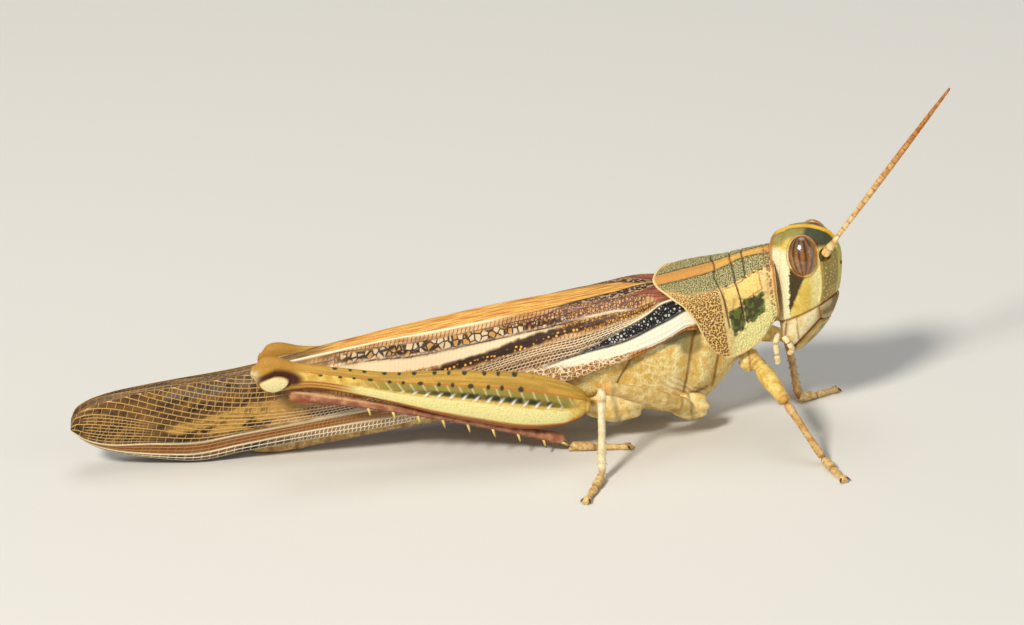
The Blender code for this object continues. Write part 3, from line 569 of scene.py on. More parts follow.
# Trunk.
def trunk_base(front, rear):
    """The trunk's wall between two places along x; its rows start on the middle of the back."""

    def base(u, v):
        t, drawn = capped(u, 0.01)
        x = front + (rear - front) * t
        angle = math.tau * (v + 0.25)
        top, low = smooth(column(TRUNK, 1), x), smooth(column(TRUNK, 2), x)
        half_width = smooth(column(TRUNK, 3), x) * drawn
        widest = low + (top - low) * TRUNK_WIDEST
        up = rounded(np.sin(angle), TRUNK_SQUARENESS)
        reach = np.where(up > 0, top - widest, widest - low) * drawn
        y = half_width * rounded(np.cos(angle), TRUNK_SQUARENESS)
        return np.stack((x, y, np.maximum(widest + reach * up, 0.0)), axis=1)

    return base


def make_abdomen(finish):
    """Overlapping rings, each a back plate and a belly plate with a soft fold between."""

    def overlap(x):
        start = np.full_like(x, WAIST_X)
        end = np.full_like(x, TRUNK[-1][0])
        for joint in ABDOMEN_JOINTS:
            start = np.where(x < joint, joint, start)
            end = np.where(x > joint, np.maximum(end, joint), end)
        return np.clip((start - x) / np.maximum(start - end, 0.1), 0, 1)

    def above_fold(x, z):
        return z - 0.5 * smooth(column(TRUNK, 2), x) - 0.3 * smooth(column(TRUNK, 1), x)

    def relief(u, v, points):
        x, _, z = points.T
        share = overlap(x)
        side_fold = bump(above_fold(x, z), 0.22)
        rings = 0.10 * share**3 - 0.10 * (1 - step(share, 0, 0.08)) - 0.16 * side_fold - 0.05
        return rings * step(z, 0.0, 0.4)

    mesh = closed(bent_grid(300, 110, raised(trunk_base(WAIST_X + 0.2, ABDOMEN_END_X), relief)))
    x, y, z = places(mesh).T
    share = overlap(x)
    mark(
        mesh,
        hem=step(share, 0.84, 0.93),
        fold=bump(above_fold(x, z), 0.3),
        speck=step(0.32 - pits(x / 0.5, z / 0.5 + y, 3), 0.0, 0.08),
    )
    nodes = ["abdomen_base", "abdomen_middle", "abdomen_rear", "abdomen_tip"]
    add_piece("abdomen", mesh, finish, nodes)


THORAX_SEAMS = {
    "mid_seam": ((18.4, 13.0), (18.08, 11.74), (17.5, 9.0), (17.0, 6.5), (16.6, 4.5)),
    "hind_seam": ((12.4, 10.8), (11.6, 9.4), (10.15, 6.75), (9.6, 5.4)),
    "front_seam": ((20.6, 9.6), (20.2, 8.0), (19.6, 5.0), (18.9, 2.6)),
    "low_seam": ((18.9, 4.6), (15.6, 3.2), (12.0, 3.6), (8.0, 4.4)),
}


def thorax_marks(x, z):
    """Markings of the side plates, from their seams and folds, and a patch of painted shade near the
    shield's hind edge.
    """
    away = np.min([near_line(x, z, points) for points in THORAX_SEAMS.values()], axis=0)
    seam = bump(away, 0.13)
    swell = step(away, 0.0, 1.5)
    fold = near_line(x, z, ((15.4, 5.9), (16.6, 4.6), (18.6, 3.4)))
    wrinkle = step(1.5 - fold, 0, 0.8) * (0.5 + 0.5 * np.sin((x * 0.8 + z) * 9 + 2 * grain(x, z)))
    # shade: painted shade near the hind edge of the shield.
    shade = step(-(near_line(x, z, ((15.2, 11.3), (17.4, 10.9), (17.5, 9.9))) - 1.1), -0.3, 0.3)
    return seam, wrinkle, shade, swell


def make_thorax(finish):
    """Side plates with sunken seams, wrinkled where the middle leg joins."""

    def relief(u, v, points):
        x, y, z = points.T
        seam, wrinkle, _, swell = thorax_marks(x, z)
        side = step(np.abs(y), 1.8, 2.6)
        plates = 0.09 * (grain(x * 0.45, z * 0.45, 5) - 0.5) + 0.24 * swell - 0.1
        dimples = -0.02 * step(0.4 - pits(x / 0.3, z / 0.3, 1), 0, 0.2)
        return -0.06 + side * (plates - 0.17 * seam - 0.12 * wrinkle) + dimples

    mesh = closed(bent_grid(300, 300, raised(trunk_base(NECK_X + 0.4, WAIST_X), relief)))
    x, y, z = places(mesh).T
    seam, wrinkle, shade, swell = thorax_marks(x, z)
    side = step(np.abs(y), 1.8, 2.6)
    mark(
        mesh,
        # hollow: painted shade in the dips along the seams, between the swollen plates.
        hollow=(1 - swell) * side * step(z, 2.0, 4.0),
        seam=seam * side,
        wrinkle=wrinkle * side,
        shade=shade * side,
        pit=step(0.36 - pits(x / 0.3, z / 0.3, 1), 0, 0.2),
    )
    add_piece("thorax", mesh, finish, ["mesothorax", "metathorax"])


def make_prothorax(finish):
    """The neck plates under the shield, with the blunt spur between the front legs."""

    def relief(u, v, points):
        x, _, z = points.T
        folds = 0.06 * np.sin(x * 9) * step(x, 25.0, 25.6)
        return -0.08 + 0.05 * (grain(x * 1.2, z * 1.2, 2) - 0.5) + folds

    mesh = closed(bent_grid(70, 90, raised(trunk_base(PROTHORAX_FRONT_X, NECK_X + 0.2), relief)))

    def spur_section(u, angle):
        t, drawn = capped(u, 0.12)
        radius = (THROAT_SPUR_RADII[0] * (1 - t) + THROAT_SPUR_RADII[1] * t) * drawn
        return radius * np.cos(angle), radius * np.sin(angle)

    spur = closed(bent_grid(30, 24, tube(straight(*THROAT_SPUR), spur_section)))
    mesh = joined([mesh, spur])
    x, _, z = places(mesh).T
    mark(
        # hollow here darkens the neck under the shield's front: partly the neck's own orange-brown, partly
        # painted shade.
        mesh, seam=0 * x, wrinkle=0 * x, shade=0 * x, hollow=step(x, 24.4, 25.4),
        pit=step(0.3 - pits(x / 0.3, z / 0.3, 1), 0, 0.2),
    )
    add_piece("prothorax_and_spur", mesh, finish, ["prothorax"])


# Pronotum.
SULCI = {
    "principal": ((20.45, 0.0), (20.2, 1.4), (20.77, 4.1), (21.21, 6.4), (21.45, 7.6)),
    "second": ((22.0, 0.0), (22.05, 0.8), (22.27, 3.5), (22.7, 5.7), (23.0, 7.6)),
    "first": ((23.2, 0.0), (23.25, 2.8)),
}
YELLOW_BLOCKS = (
    ((20.87, 3.85), (21.34, 6.35), (22.62, 5.95), (22.24, 3.68)),
    ((22.36, 3.72), (22.6, 5.28), (23.2, 5.44), (24.72, 4.58), (24.48, 2.68)),
)
DARK_BLOCKS = (
    ((21.42, 6.4), (21.84, 8.15), (22.9, 7.8), (22.65, 6.05)),
    ((22.8, 5.62), (23.06, 7.3), (23.95, 7.5), (24.95, 7.0), (24.8, 4.98)),
)
STRIPE_HALF_WIDTH = ((14.2, 1.1), (18.0, 1.15), (20.4, 1.0), (21.7, 0.84), (23.0, 0.64), (25.9, 0.8))
DISC_LOW_EDGE = (
    (14.2, 0.7), (15.0, 1.3), (16.9, 2.6), (18.5, 3.2), (20.7, 3.3), (22.05, 3.25), (23.1, 3.0),
    (24.5, 2.5), (25.9, 2.3),
)
# The side of the shield, ridge to lower edge, counts as ten places in these outlines.
PRONOTUM_DROP = 10.0


def within(x, y, corners):
    """How far inside a convex outline each place is; below 0 outside."""
    depth = np.full_like(x, 99.0)
    for (ax, ay), (bx, by) in zip(corners, corners[1:] + corners[:1]):
        length = math.hypot(bx - ax, by - ay)
        depth = np.minimum(depth, ((x - ax) * (by - ay) - (y - ay) * (bx - ax)) / length)
    return depth


def pronotum_base(u, v):
    """u runs from the hind edge to the front, v from the right lower edge to the left one."""
    side = np.sign(v - 0.5) + (v == 0.5)
    share = np.abs(2 * v - 1)
    hind = smooth(PRONOTUM_HIND_EDGE, share)
    front = smooth(PRONOTUM_FRONT_EDGE, share)
    x = hind + (front - hind) * u
    top, drop = smooth(PRONOTUM_TOP, x), smooth(PRONOTUM_SHOULDER_DROP, x)
    half_width, squareness = smooth(PRONOTUM_HALF_WIDTH, x), smooth(PRONOTUM_SQUARENESS, x)
    angle = math.pi / 2 * (1 - np.minimum(share / PRONOTUM_ARCH_SHARE, 1.0))
    along = np.clip((share - PRONOTUM_ARCH_SHARE) / (1 - PRONOTUM_ARCH_SHARE), 0, 1)
    low = smooth(PRONOTUM_LOWER_EDGE, x)
    y = half_width * rounded(np.cos(angle), squareness) - PRONOTUM_TUCK_IN * along**2
    arch_z = top - drop * (1 - rounded(np.sin(angle), squareness))
    lobe_z = top - drop + (low - top + drop) * along
    z = np.where(share < PRONOTUM_ARCH_SHARE, arch_z, lobe_z)
    return np.stack((x, side * y, z), axis=1)


def pronotum_marks(u, share, x, y):
    """The shield's grooves, pits and colour fields, alike on both sides."""
    down = share * PRONOTUM_DROP
    groove = np.zeros_like(x)
    for points in SULCI.values():
        groove = np.maximum(groove, bump(near_line(x, down, points), 0.075))
    groove *= step(8.0 - down, 0, 0.6)
    rim = step(np.maximum(share, 1 - u), 0.974, 0.986)
    collar = step(u, 0.90, 0.93) * (1 - step(u, 0.955, 0.965))
    hind_field = step(20.6 + 0.14 * np.maximum(down - 4, 0) - x, 0.0, 0.2)
    lobe = step(down, smooth(DISC_LOW_EDGE, x) - 0.5, smooth(DISC_LOW_EDGE, x) + 0.6)
    pit = step(0.46 - pits(x / 0.2, down / 0.2, 1), 0, 0.12)
    ragged = grain(x * 4, down * 4, 2) + 0.6 * grain(x * 9, down * 9, 3) - 0.8
    half_width = smooth(STRIPE_HALF_WIDTH, x) + 0.12 * (grain(x * 3, x * 0.7, 4) - 0.5)
    stripe = step(half_width - np.abs(y), -0.06, 0.06)
    brow = bump(np.abs(y) - half_width - 0.1, 0.13)
    dark_patch = np.maximum(*(within(x, down, block) for block in DARK_BLOCKS))
    dark_patch = step(dark_patch + 0.08 + 0.3 * ragged, -0.12, 0.16)
    yellow = np.maximum(*(within(x, down, block) for block in YELLOW_BLOCKS)) + 0.06 + 0.14 * ragged
    dapple = step(grain(x * 3.4, down * 3.4, 12), 0.5, 0.65)
    crinkle = 0.6 * bump(grain(x * 1.5, down * 1.5, 14) - 0.5, 0.05) * step(yellow, 0, 0.2)
    outline = np.maximum(bump(yellow, 0.08), crinkle)
    yellow = step(yellow, -0.06, 0.06)
    pale_lobe = step(down - 0.7 * (24.0 - x), 6.0, 7.2) * step(x, 21.5, 22.2)
    disc = step(smooth(DISC_LOW_EDGE, x) - down + 0.5 * ragged, -0.25, 0.25) * (1 - stripe)
    speck_line = bump(down - smooth(DISC_LOW_EDGE, x) - 0.1, 0.28)
    specks = step(grain(x * 6, down * 7, 9), 0.55, 0.7) * speck_line * step(x, 20.6, 21.0)
    field = hind_field * lobe * (1 - rim)
    return {
        "groove": groove, "rim": rim, "pit": pit * field, "stripe": stripe, "brow": brow,
        "dark_patch": dark_patch * (1 - rim), "yellow": yellow, "outline": outline,
        "pale_lobe": pale_lobe, "disc": disc, "specks": specks, "metazona": hind_field,
        "stipple": step(0.46 - pits(x / 0.17, down / 0.17, 7), 0, 0.12) * disc,
        "fleck": step(0.34 - pits(x / 0.19, down / 0.19, 17), 0, 0.1) * disc,
        "granule": step(0.42 - pits(x / 0.3, down / 0.3, 5), 0, 0.2) * pale_lobe,
        "collar": collar * step(0.44 - pits(x / 0.36, down / 0.36, 4), 0, 0.1),
        "front_line": bump(u - 0.985, 0.014), "dapple": dapple * dark_patch,
        "front_stripe": stripe * step(x, 20.2, 20.6),
    }


def make_pronotum(finish):
    """The saddle-shaped shield, a wall whose two faces meet along its edges."""

    def outer(v):
        """The wall's outer face for the first part of the grid, its inner face for the rest."""
        return np.where(v < OUTER_FACE, v / OUTER_FACE, (1 - v) / (1 - OUTER_FACE))

    def base(u, v):
        return pronotum_base(u, outer(v))

    def relief(u, v, points):
        w = outer(v)
        share = np.abs(2 * w - 1)
        marks = pronotum_marks(u, share, points[:, 0], points[:, 1])
        edge = np.minimum(np.minimum(u, 1 - u) * 40, (1 - share) * 32)
        wall = 0.45 * np.sqrt(np.clip(edge, 0, 1))
        ridge = 0.10 * bump(share * PRONOTUM_DROP, 0.14)
        grains = 0.03 * (grain(points[:, 0] * 5, share * 50, 3) - 0.5)
        detail = 0.07 * marks["rim"] - 0.15 * marks["groove"] - 0.07 * marks["pit"] + ridge + grains
        detail += 0.05 * marks["yellow"] + 0.04 * marks["granule"] - 0.04 * marks["stipple"]
        return np.where(v < OUTER_FACE, detail * np.clip(edge, 0, 1), wall)

    mesh = bent_grid(190, 480, raised(base, relief))
    u, v = marked(mesh, "along"), marked(mesh, "around")
    share = np.abs(2 * outer(v) - 1)
    x, y, _ = pronotum_base(u, outer(v)).T
    mark(mesh, **pronotum_marks(u, share, x, y))
    add_piece("pronotum_shield", closed(mesh), finish, ["pronotum"])


# Head.
def head_path():
    """The head's level rings, each with its place along the face's curve."""
    along = [0.0]
    for low, high in zip(HEAD, HEAD[1:]):
        along.append(along[-1] + math.hypot(high[0] - low[0], high[2] - low[2], 0.6 * (high[3] - low[3])))
    return [(place / along[-1], *row) for place, row in zip(along, HEAD)]


HEAD_PATH = head_path()


def head_base(u, v):
    """u turns round the head from the middle of the face, v climbs from the mouth to the crown."""
    t, drawn = capped(v, 0.015)
    z, back, front, half_width = (smooth(column(HEAD_PATH, k), t) for k in (1, 2, 3, 4))
    angle = math.tau * u
    squareness = np.where(np.cos(angle) > 0, HEAD_SQUARENESS_FRONT, HEAD_SQUARENESS_BACK)
    reach = (front - back) / 2 * drawn
    x = (front + back) / 2 + reach * rounded(np.cos(angle), squareness)
    y = half_width * drawn * rounded(np.sin(angle), squareness)
    return np.stack((x, y, z), axis=1)


def eye_distance(x, y, z):
    """1 on the eye's own surface, less inside it; the two eyes are alike."""
    dx, dy, dz = x - EYE_CENTRE[0], np.abs(y) - EYE_CENTRE[1], z - EYE_CENTRE[2]
    across = dy * math.cos(EYE_LEAN) + dz * math.sin(EYE_LEAN)
    high = dz * math.cos(EYE_LEAN) - dy * math.sin(EYE_LEAN)
    ahead = dx * math.cos(EYE_TILT) - high * math.sin(EYE_TILT)
    high = dx * math.sin(EYE_TILT) + high * math.cos(EYE_TILT)
    return np.sqrt((ahead / EYE_RADII[0]) ** 2 + (across / EYE_RADII[1]) ** 2 + (high / EYE_RADII[2]) ** 2)


def socket_distance(x, y, z):
    """Distance to the middle of the nearer feeler socket."""
    dx, dy, dz = x - ANTENNA_SOCKET[0], np.abs(y) - ANTENNA_SOCKET[1], z - ANTENNA_SOCKET[2]
    return np.sqrt(dx**2 + dy**2 + dz**2)


def plane_side(points, line):
    """Distance in front of a head plane, whose normal lies in the middle of the body."""
    (px, pz), (nx, nz) = line
    size = math.hypot(nx, nz)
    return ((points[:, 0] - px) * nx + (points[:, 2] - pz) * nz) / size


CARINA = ((5.2, 18.0), (5.3, 17.4), (5.42, 15.8), (5.35, 14.6), (5.15, 13.5))


def head_relief(u, v, points):
    """How far each place of the head stands out."""
    x, y, z = points.T
    side = np.abs(y)
    eye = eye_distance(x, y, z)
    socket = socket_distance(x, y, z)
    face = step(x, 4.9, 5.6)
    costa = 0.10 * bump(side - 0.42, 0.13) - 0.07 * bump(side, 0.2)
    crown = step(z, 19.2, 20.0)
    cheek = bump(near_line(x, z, ((2.3, 16.8), (2.35, 14.6), (2.15, 12.4))), 0.25)
    relief = 0.09 * bump(eye - 1.09, 0.05) - 0.5 * step(1.0 - eye, 0.0, 0.25)
    relief += 0.13 * bump(socket - 0.78, 0.13) - 0.55 * step(0.72 - socket, 0.0, 0.3)
    relief += face * costa * step(socket, 0.5, 0.9)
    relief += 0.11 * bump(near_line(x, z, CARINA), 0.11) * step(side, 1.0, 1.6)
    relief += 0.07 * crown * bump(side, 0.12) - 0.07 * cheek * step(side, 1.5, 2.2)
    relief += -0.09 * bump(x - 0.95 - 0.05 * (z - 14), 0.12) * step(z, 11.0, 12.5)
    relief += 0.32 * step(1.0 - x, 0, 0.8) * step(z, 11.0, 12.5)
    relief += 0.035 * (grain(x * 3.2, z * 3.2 + y, 1) - 0.5) + 0.012 * grain(x * 9 + y * 5, z * 9, 2)
    return relief - 0.03


def head_mesh(columns, rows, swell=0.0, seams=()):
    """The whole head form in its own frame; near each seam plane it is drawn in."""

    def relief(u, v, points):
        drawn = sum(bump(plane_side(points, line), 0.13) for line in seams)
        middle = 0.08 * bump(points[:, 1], 0.1) * step(10.6 - points[:, 2], 0, 0.8)
        return head_relief(u, v, points) + swell - 0.16 * drawn - middle

    return bent_grid(columns, rows, raised(head_base, relief))


def head_plane(line, side, gap=0.05):
    """A cut that keeps the side the line's normal points to (1) or the other (-1)."""
    point = Vector((line[0][0], 0.0, line[0][1]))
    normal = Vector((line[1][0], 0.0, line[1][1])).normalized()
    return point + normal * side * gap / 2, normal * -side


CROWN_EDGE = ((0.0, 0.8), (1.0, 0.68), (3.0, 0.5), (5.0, 0.46), (6.4, 0.42))


def head_marks(x, y, z):
    """Markings of the head: crown, face, cheek streak, eye rims, sockets and seams."""
    side = np.abs(y)
    eye = eye_distance(x, y, z)
    ragged = 0.16 * (grain(x * 4.5, z * 4.5, 3) - 0.5) + 0.1 * (grain(x * 11, z * 11, 4) - 0.5)
    crown_edge = smooth(CROWN_EDGE, x)
    on_crown = step(z, 17.6, 18.4)
    stripe = step(crown_edge - side + ragged * 0.3, -0.05, 0.05) * on_crown * (1 - step(x, 6.1, 6.5))
    stripe_rim = bump(side - crown_edge - 0.08, 0.07) * on_crown * step(6.3 - x, 0, 0.4)
    behind = step(2.3 - side, -0.3, 0.5) * step(z, 18.4, 19.2)
    teal = step(x, 2.8, 3.8) * step(z, 19.0 + 0.25 * ragged, 19.4) * step(2.6 - side, -0.1, 0.3)
    back_edge = 2.32 - 0.03 * (16 - z)
    front_edge = 2.45 + 0.40 * np.clip(z - 12.6, 0, 6)
    teeth = 0.14 * (np.abs(((z * 3.1) % 1.0) - 0.5) - 0.25) + ragged
    streak = step(x - back_edge + 1.2 * teeth, -0.05, 0.05)
    streak *= step(front_edge - x + 0.6 * teeth, -0.05, 0.22) * step(side, 1.2, 1.8)
    streak *= step(17.4 - z, 0, 0.3) * step(z, 12.1, 12.5)
    carina_x = smooth([(point[1], point[0]) for point in CARINA], z)
    frons = step(x - carina_x, 0.0, 0.35) * step(19.3 - z, 0, 0.7) * step(side, 0.62, 0.78)
    ridge = step(0.66 - side, -0.05, 0.1) * step(x, 5.4, 5.8) * step(19.4 - z, 0, 0.4)
    carina = bump(near_line(x, z, CARINA), 0.09) * step(side, 1.2, 1.7)
    cheek = step(x - front_edge, -0.15, 0.3) * step(carina_x - x, 0, 1.4) * step(17.8 - z, 0, 0.8)
    panel = step(x, 4.2, 4.9) * step(carina_x - x, -0.1, 0.25) * step(17.8 - z, 0, 0.8)
    gena = step(back_edge - x + 0.3, -0.1, 0.4) * step(19.3 - z, 0, 1.0)
    socket = socket_distance(x, y, z)
    seam = bump(plane_side(np.stack((x, y, z), axis=1), CHEEK_LINE), 0.12)
    dots = step(0.15 - pits(side / 0.4, z / 0.4, 8), 0.0, 0.06) + 0 * x
    return {
        "stripe": stripe, "stripe_rim": stripe_rim, "olive": behind * (1 - teal), "teal": teal,
        "streak": streak, "frons": frons, "ridge": ridge, "carina": carina, "cheek": cheek,
        "panel": panel, "gena": gena, "seam": seam, "dots": frons * dots,
        "eye_rim": bump(eye - 1.05, 0.022), "eye_ring": bump(eye - 1.11, 0.03),
        "socket": bump(socket - 0.55, 0.16),
        "hem": step(0.5 - x, 0, 0.2) * step(z, 12.0, 13.0),
        "amber": frons * step(grain(x * 1.6 + 3, z * 0.7, 5), 0.4, 0.75),
    }


# Mouth plates: how far each stands out, then its lines, each with the side it keeps: 1 is the side
# the line's normal points to.
MOUTH_PARTS = {
    "clypeus": (0.10, (CHEEK_LINE, 1), (FACE_LINE, 1), (LIP_LINE, 1)),
    "labrum": (0.16, (LIP_LINE, -1), (JAW_LINE, 1)),
    "mandible": (0.0, (CHEEK_LINE, 1), (FACE_LINE, -1), (JAW_LINE, -1), (CHIN_LINE, -1)),
    "labium": (-0.05, (CHEEK_LINE, 1), (CHIN_LINE, 1)),
}


def make_head(finish, mouth):
    """The head capsule and the mouth plates, cut from one shape along the lines between them."""
    frame_of_head = head_frame()
    capsule = closed(head_mesh(330, 270, 0.0, [CHEEK_LINE]), [head_plane(CHEEK_LINE, -1)])
    mark(capsule, **head_marks(*places(capsule).T))
    add_piece("head_capsule", turned(capsule, frame_of_head), finish, ["head"])
    for name, (swell, *lines) in MOUTH_PARTS.items():
        sides = SIDES.items() if name == "mandible" else [("", 0)]
        for side_name, side in sides:
            whole = head_mesh(170, 170, swell, [line for line, _ in lines])
            cuts = [head_plane(line, keep) for line, keep in lines]
            if side:
                cuts.append((Vector((0, side * 0.05, 0)), Vector((0, -side, 0))))
            piece = closed(whole, cuts)
            points = places(piece)
            edge = np.min([np.abs(plane_side(points, line)) for line, _ in lines], axis=0)
            x, y, z = points.T
            tinge = 0.6 + 0.4 * step(grain(y * 1.3, z * 1.3, 6), 0.2, 0.6)
            mark(
                piece,
                edge=bump(edge, 0.16),
                lip=bump(edge - 0.42, 0.2) if name == "labrum" else 0 * x,
                # On the labrum, dark is painted shade down the middle of its front face.
                dark=bump(y, 0.16) * step(10.2 - z, 0, 2) if name == "labrum" else 0 * x,
                line=bump(x - 2.95, 0.07) if name == "mandible" else 0 * x,
                olive=tinge if name in ("clypeus", "labrum") else 0 * x,
                tooth=step(9.0 - z, 0, 0.6) if name == "mandible" else 0 * x,
            )
            node = {"clypeus": ["clypeus_labrum"], "labium": ["labium"], "labrum": []}.get(name)
            full_name = f"{name}_{side_name}" if side else name
            nodes = [f"mandible_{side_name}"] if node is None else node
            add_piece(full_name, turned(piece, frame_of_head), mouth, nodes)


def make_eyes(eye_finish, ocellus_finish):
    """Tall oval eyes and three small single ones."""
    for side_name, side in SIDES.items():
        lean = Matrix.Rotation(side * EYE_LEAN, 4, "X") @ Matrix.Rotation(EYE_TILT, 4, "Y")
        spot = Matrix.Translation(Vector(sided(EYE_CENTRE, side)))
        mesh = ball("eye", 72, 64)
        x, y, z = places(mesh).T
        outward = y * side
        turn = np.arctan2(x, outward)
        bands = 0.5 + 0.5 * np.cos(turn * 14 + 0.5 + 0.4 * (grain(turn * 2, z * 3, 1) - 0.5))
        mark(
            mesh,
            bands=step(bands, 0.4, 0.85) * step(turn, -1.2, -0.9) * step(1.4 - turn, 0, 0.4),
            crown=step(z, -0.1, 0.9) * step(outward, -0.2, 0.5),
            rim=step(0.24 - outward, -0.05, 0.12),
        )
        mesh.transform(spot @ lean @ Matrix.Diagonal((*EYE_RADII, 1.0)))
        mesh.transform(head_frame())
        add_piece(f"eye_{side_name}_lens", mesh, eye_finish, [f"eye_{side_name}"])
    ocelli = []
    for centre in OCELLI:
        spot = Matrix.Translation(centre) @ Matrix.Scale(OCELLUS_RADIUS, 4)
        ocelli.append(turned(ball("ocellus", 20, 14), head_frame() @ spot))
    add_piece("ocelli", joined(ocelli), ocellus_finish)


def antenna_line(side_name):
    """The middle line of a feeler, from its socket to its tip."""
    socket = Vector(ANTENNA_SOCKET)
    right_root = head_frame() @ Vector((socket.x, -socket.y, socket.z))
    socket.y *= SIDES[side_name]
    root = np.array(head_frame() @ socket)
    end = np.array((ANTENNA_TIP[0], right_root.y - ANTENNA_TIP_LEAN, ANTENNA_TIP[1]))
    first, last = ANTENNA_SPREAD[side_name]

    def route(t):
        t = np.asarray(t)[:, None] * ANTENNA_REACH[side_name]
        point = np.array(right_root) * (1 - t) + end * t
        out = first + (last - first) * t
        point = point + out * np.array((SPREAD_FORWARD, 1.0, -SPREAD_DROP))
        point[:, 2:] += ANTENNA_BOW * np.sin(math.pi * t)
        near = np.clip(1 - t * 4, 0, 1) if first else np.zeros_like(t)
        return root * near + point * (1 - near)

    return route


def make_antenna(side_name, finish):
    """A stout first joint, a short second, then a whip of many ringed segments."""

    def section(u, angle):
        t, drawn = capped(u, 0.004)
        ring = (t * ANTENNA_JOINTS) % 1.0
        waist = 0.03 * bump(np.minimum(ring, 1 - ring), 0.1)
        radius = (smooth(ANTENNA_RADIUS, t) - waist) * drawn
        return radius * np.cos(angle) * 1.08, radius * np.sin(angle) * 0.94

    mesh = closed(bent_grid(760, 16, tube(antenna_line(side_name), section)))
    t = marked(mesh, "along")
    ring = (t * ANTENNA_JOINTS) % 1.0
    mark(mesh, ring=bump(np.minimum(ring, 1 - ring), 0.09), far=t)
    add_piece(f"antenna_{side_name}_whip", mesh, finish, [f"antenna_{side_name}"])


def jointed(points, radii, columns, rows, pinch=0.35):
    """One mesh of rounded lengths, one between each pair of points."""
    lengths = []
    for start, end, first, last in zip(points, points[1:], radii, radii[1:]):

        def section(u, angle, first=first, last=last):
            t, drawn = capped(u, 0.12)
            radius = (first + (last - first) * t) * (1 - pinch * (1 - np.sin(math.pi * t) ** 0.5)) * drawn
            return radius * np.cos(angle), radius * np.sin(angle)

        lengths.append(closed(bent_grid(columns, rows, tube(straight(start, end), section))))
    return joined(lengths)


def make_palps(side_name, finish):
    """Two jointed palps on each side of the mouth."""
    for kind, route in PALPS.items():
        points = [np.array(head_frame() @ Vector(sided(point, SIDES[side_name]))) for point in route]
        mesh = jointed(points, PALP_RADII[kind], 24, 18, 0.14)
        add_piece(f"palp_{kind}_{side_name}_joints", mesh, finish, [f"palp_{kind}_{side_name}"])


# Wings.
def wing_share(v):
    """Across a wing: the outer face from the inner edge (-1) to the lower edge (1), then back inside."""
    outer = 2 * v / OUTER_FACE - 1
    inner = 1 - 2 * (v - OUTER_FACE) / (1 - OUTER_FACE)
    return np.where(v < OUTER_FACE, outer, inner)


def wing_base(side_name):
    """The sheet of a fore wing: flat along the back, then folded down the side."""
    side = SIDES[side_name]

    def base(u, v):
        x = WING_BASE_X + (WING_TIP_X - WING_BASE_X) * u
        share = wing_share(v)
        top = smooth(WING_TOP, x) - WING_TUCK[side_name]
        fold_y = smooth(WING_FOLD_Y, x)
        fold_z = top - smooth(WING_FOLD_DROP, x)
        low_y = smooth(WING_LOW_Y, x)
        low_z = np.minimum(smooth(WING_LOW, x), fold_z - 0.3)
        inner = WING_INNER_Y[side_name]
        flat = np.clip(1 + share, 0, 1)
        down = np.clip(share, 0, 1)
        y = np.where(
            share < 0, inner + (fold_y - inner) * flat,
            fold_y + (low_y - fold_y) * np.sin(down * math.pi / 2) + WING_BULGE * np.sin(math.pi * down),
        )
        z = np.where(share < 0, top + (fold_z - top) * flat**2, fold_z + (low_z - fold_z) * down)
        return np.stack((x, side * y, z), axis=1)

    return base


def vein_rows(x, share):
    """The row number of each place between the main veins, and each row's height in millimetres."""
    fold_z = smooth(WING_TOP, x) - smooth(WING_FOLD_DROP, x)
    upright = np.hypot(fold_z - smooth(WING_LOW, x), smooth(WING_LOW_Y, x) - smooth(WING_FOLD_Y, x))
    width = np.where(share < 0, smooth(WING_FOLD_Y, x), upright)
    row = np.zeros_like(x)
    height = np.ones_like(x)
    numbers = sorted(WING_VEINS)
    for low, high in zip(numbers, numbers[1:]):
        start, end = smooth(WING_VEINS[low], x), smooth(WING_VEINS[high], x)
        inside = share >= start
        gap = np.maximum(end - start, 1e-3)
        row = np.where(inside, low + np.clip((share - start) / gap, 0, 1) * (high - low), row)
        height = np.where(inside, np.maximum(width, 0.2) * gap / (high - low), height)
    return row, height


def vein_ridges(x, share):
    """How far the veins stand out; the small ones between the main ones stand out less."""
    row, height = vein_rows(x, share)
    main = np.full_like(x, 9.0)
    for vein in WING_VEINS:
        main = np.minimum(main, np.abs(row - vein) * height)
    small = np.minimum(row % 1.0, 1 - row % 1.0) * height
    return 0.06 * bump(main, 0.1) + 0.025 * bump(small, 0.07)


def band(x, share, upper, lower, soft=0.02):
    """1 between two curves across the wing, each given as stations of (x, share)."""
    top, low = smooth(upper, x), smooth(lower, x)
    return step(share, top - soft, top + soft) * step(low + soft - share, 0, 2 * soft)


def fields_of_wing(x, share, row):
    """The big colour fields, with uneven edges."""
    wave = grain(x * 0.8, row * 1.3, 3) - 0.5
    fine = 0.03 * (grain(x * 2.5, share * 30, 6) - 0.5)
    fields = {}
    for name, edges in WING_FIELDS.items():
        spots = [station[0] for station in edges[0]]
        fields[name] = band(x, share + fine, *edges) * step(x, min(spots), min(spots) + 1)
        fields[name] *= step(max(spots) + 1 - x, 0, 1)
    patchy = step(grain(x * 0.55, 1.5 + 0 * x, 5) + 0.25 * step(x, -4, 1), 0.24, 0.36)
    fields["dark_patch"] *= patchy
    fields["smoke"] = step(-16 - x + 5 * wave - 2 * share, 0, 9)
    fields["dorsal"] = (1 - step(row, 3.9, 4.1)) * (1 - step(-20 - x, 0, 7))
    fields["rings"] *= step(x, -21, -16)
    fields["strip"] = step(row, 16.0, 16.2) * step(19.1 - row, 0, 0.25) * step(-8 - x, 0, 12)
    fields["ladder"] = step(row, 19.0, 19.2) * step(-6 - x, 0, 5)
    fields["hem"] = step(row, 19.2, 19.6) * step(x, 1, 6)
    fields["rear_net"] = step(row, 15.9, 16.2) * step(12.5 - x, 0, 3) * step(x, -14, -8)
    fields["lines"] = step(row, 8.8, 9.1) * step(16.1 - row, 0, 0.3) * (1 - fields["black_net"])
    return fields


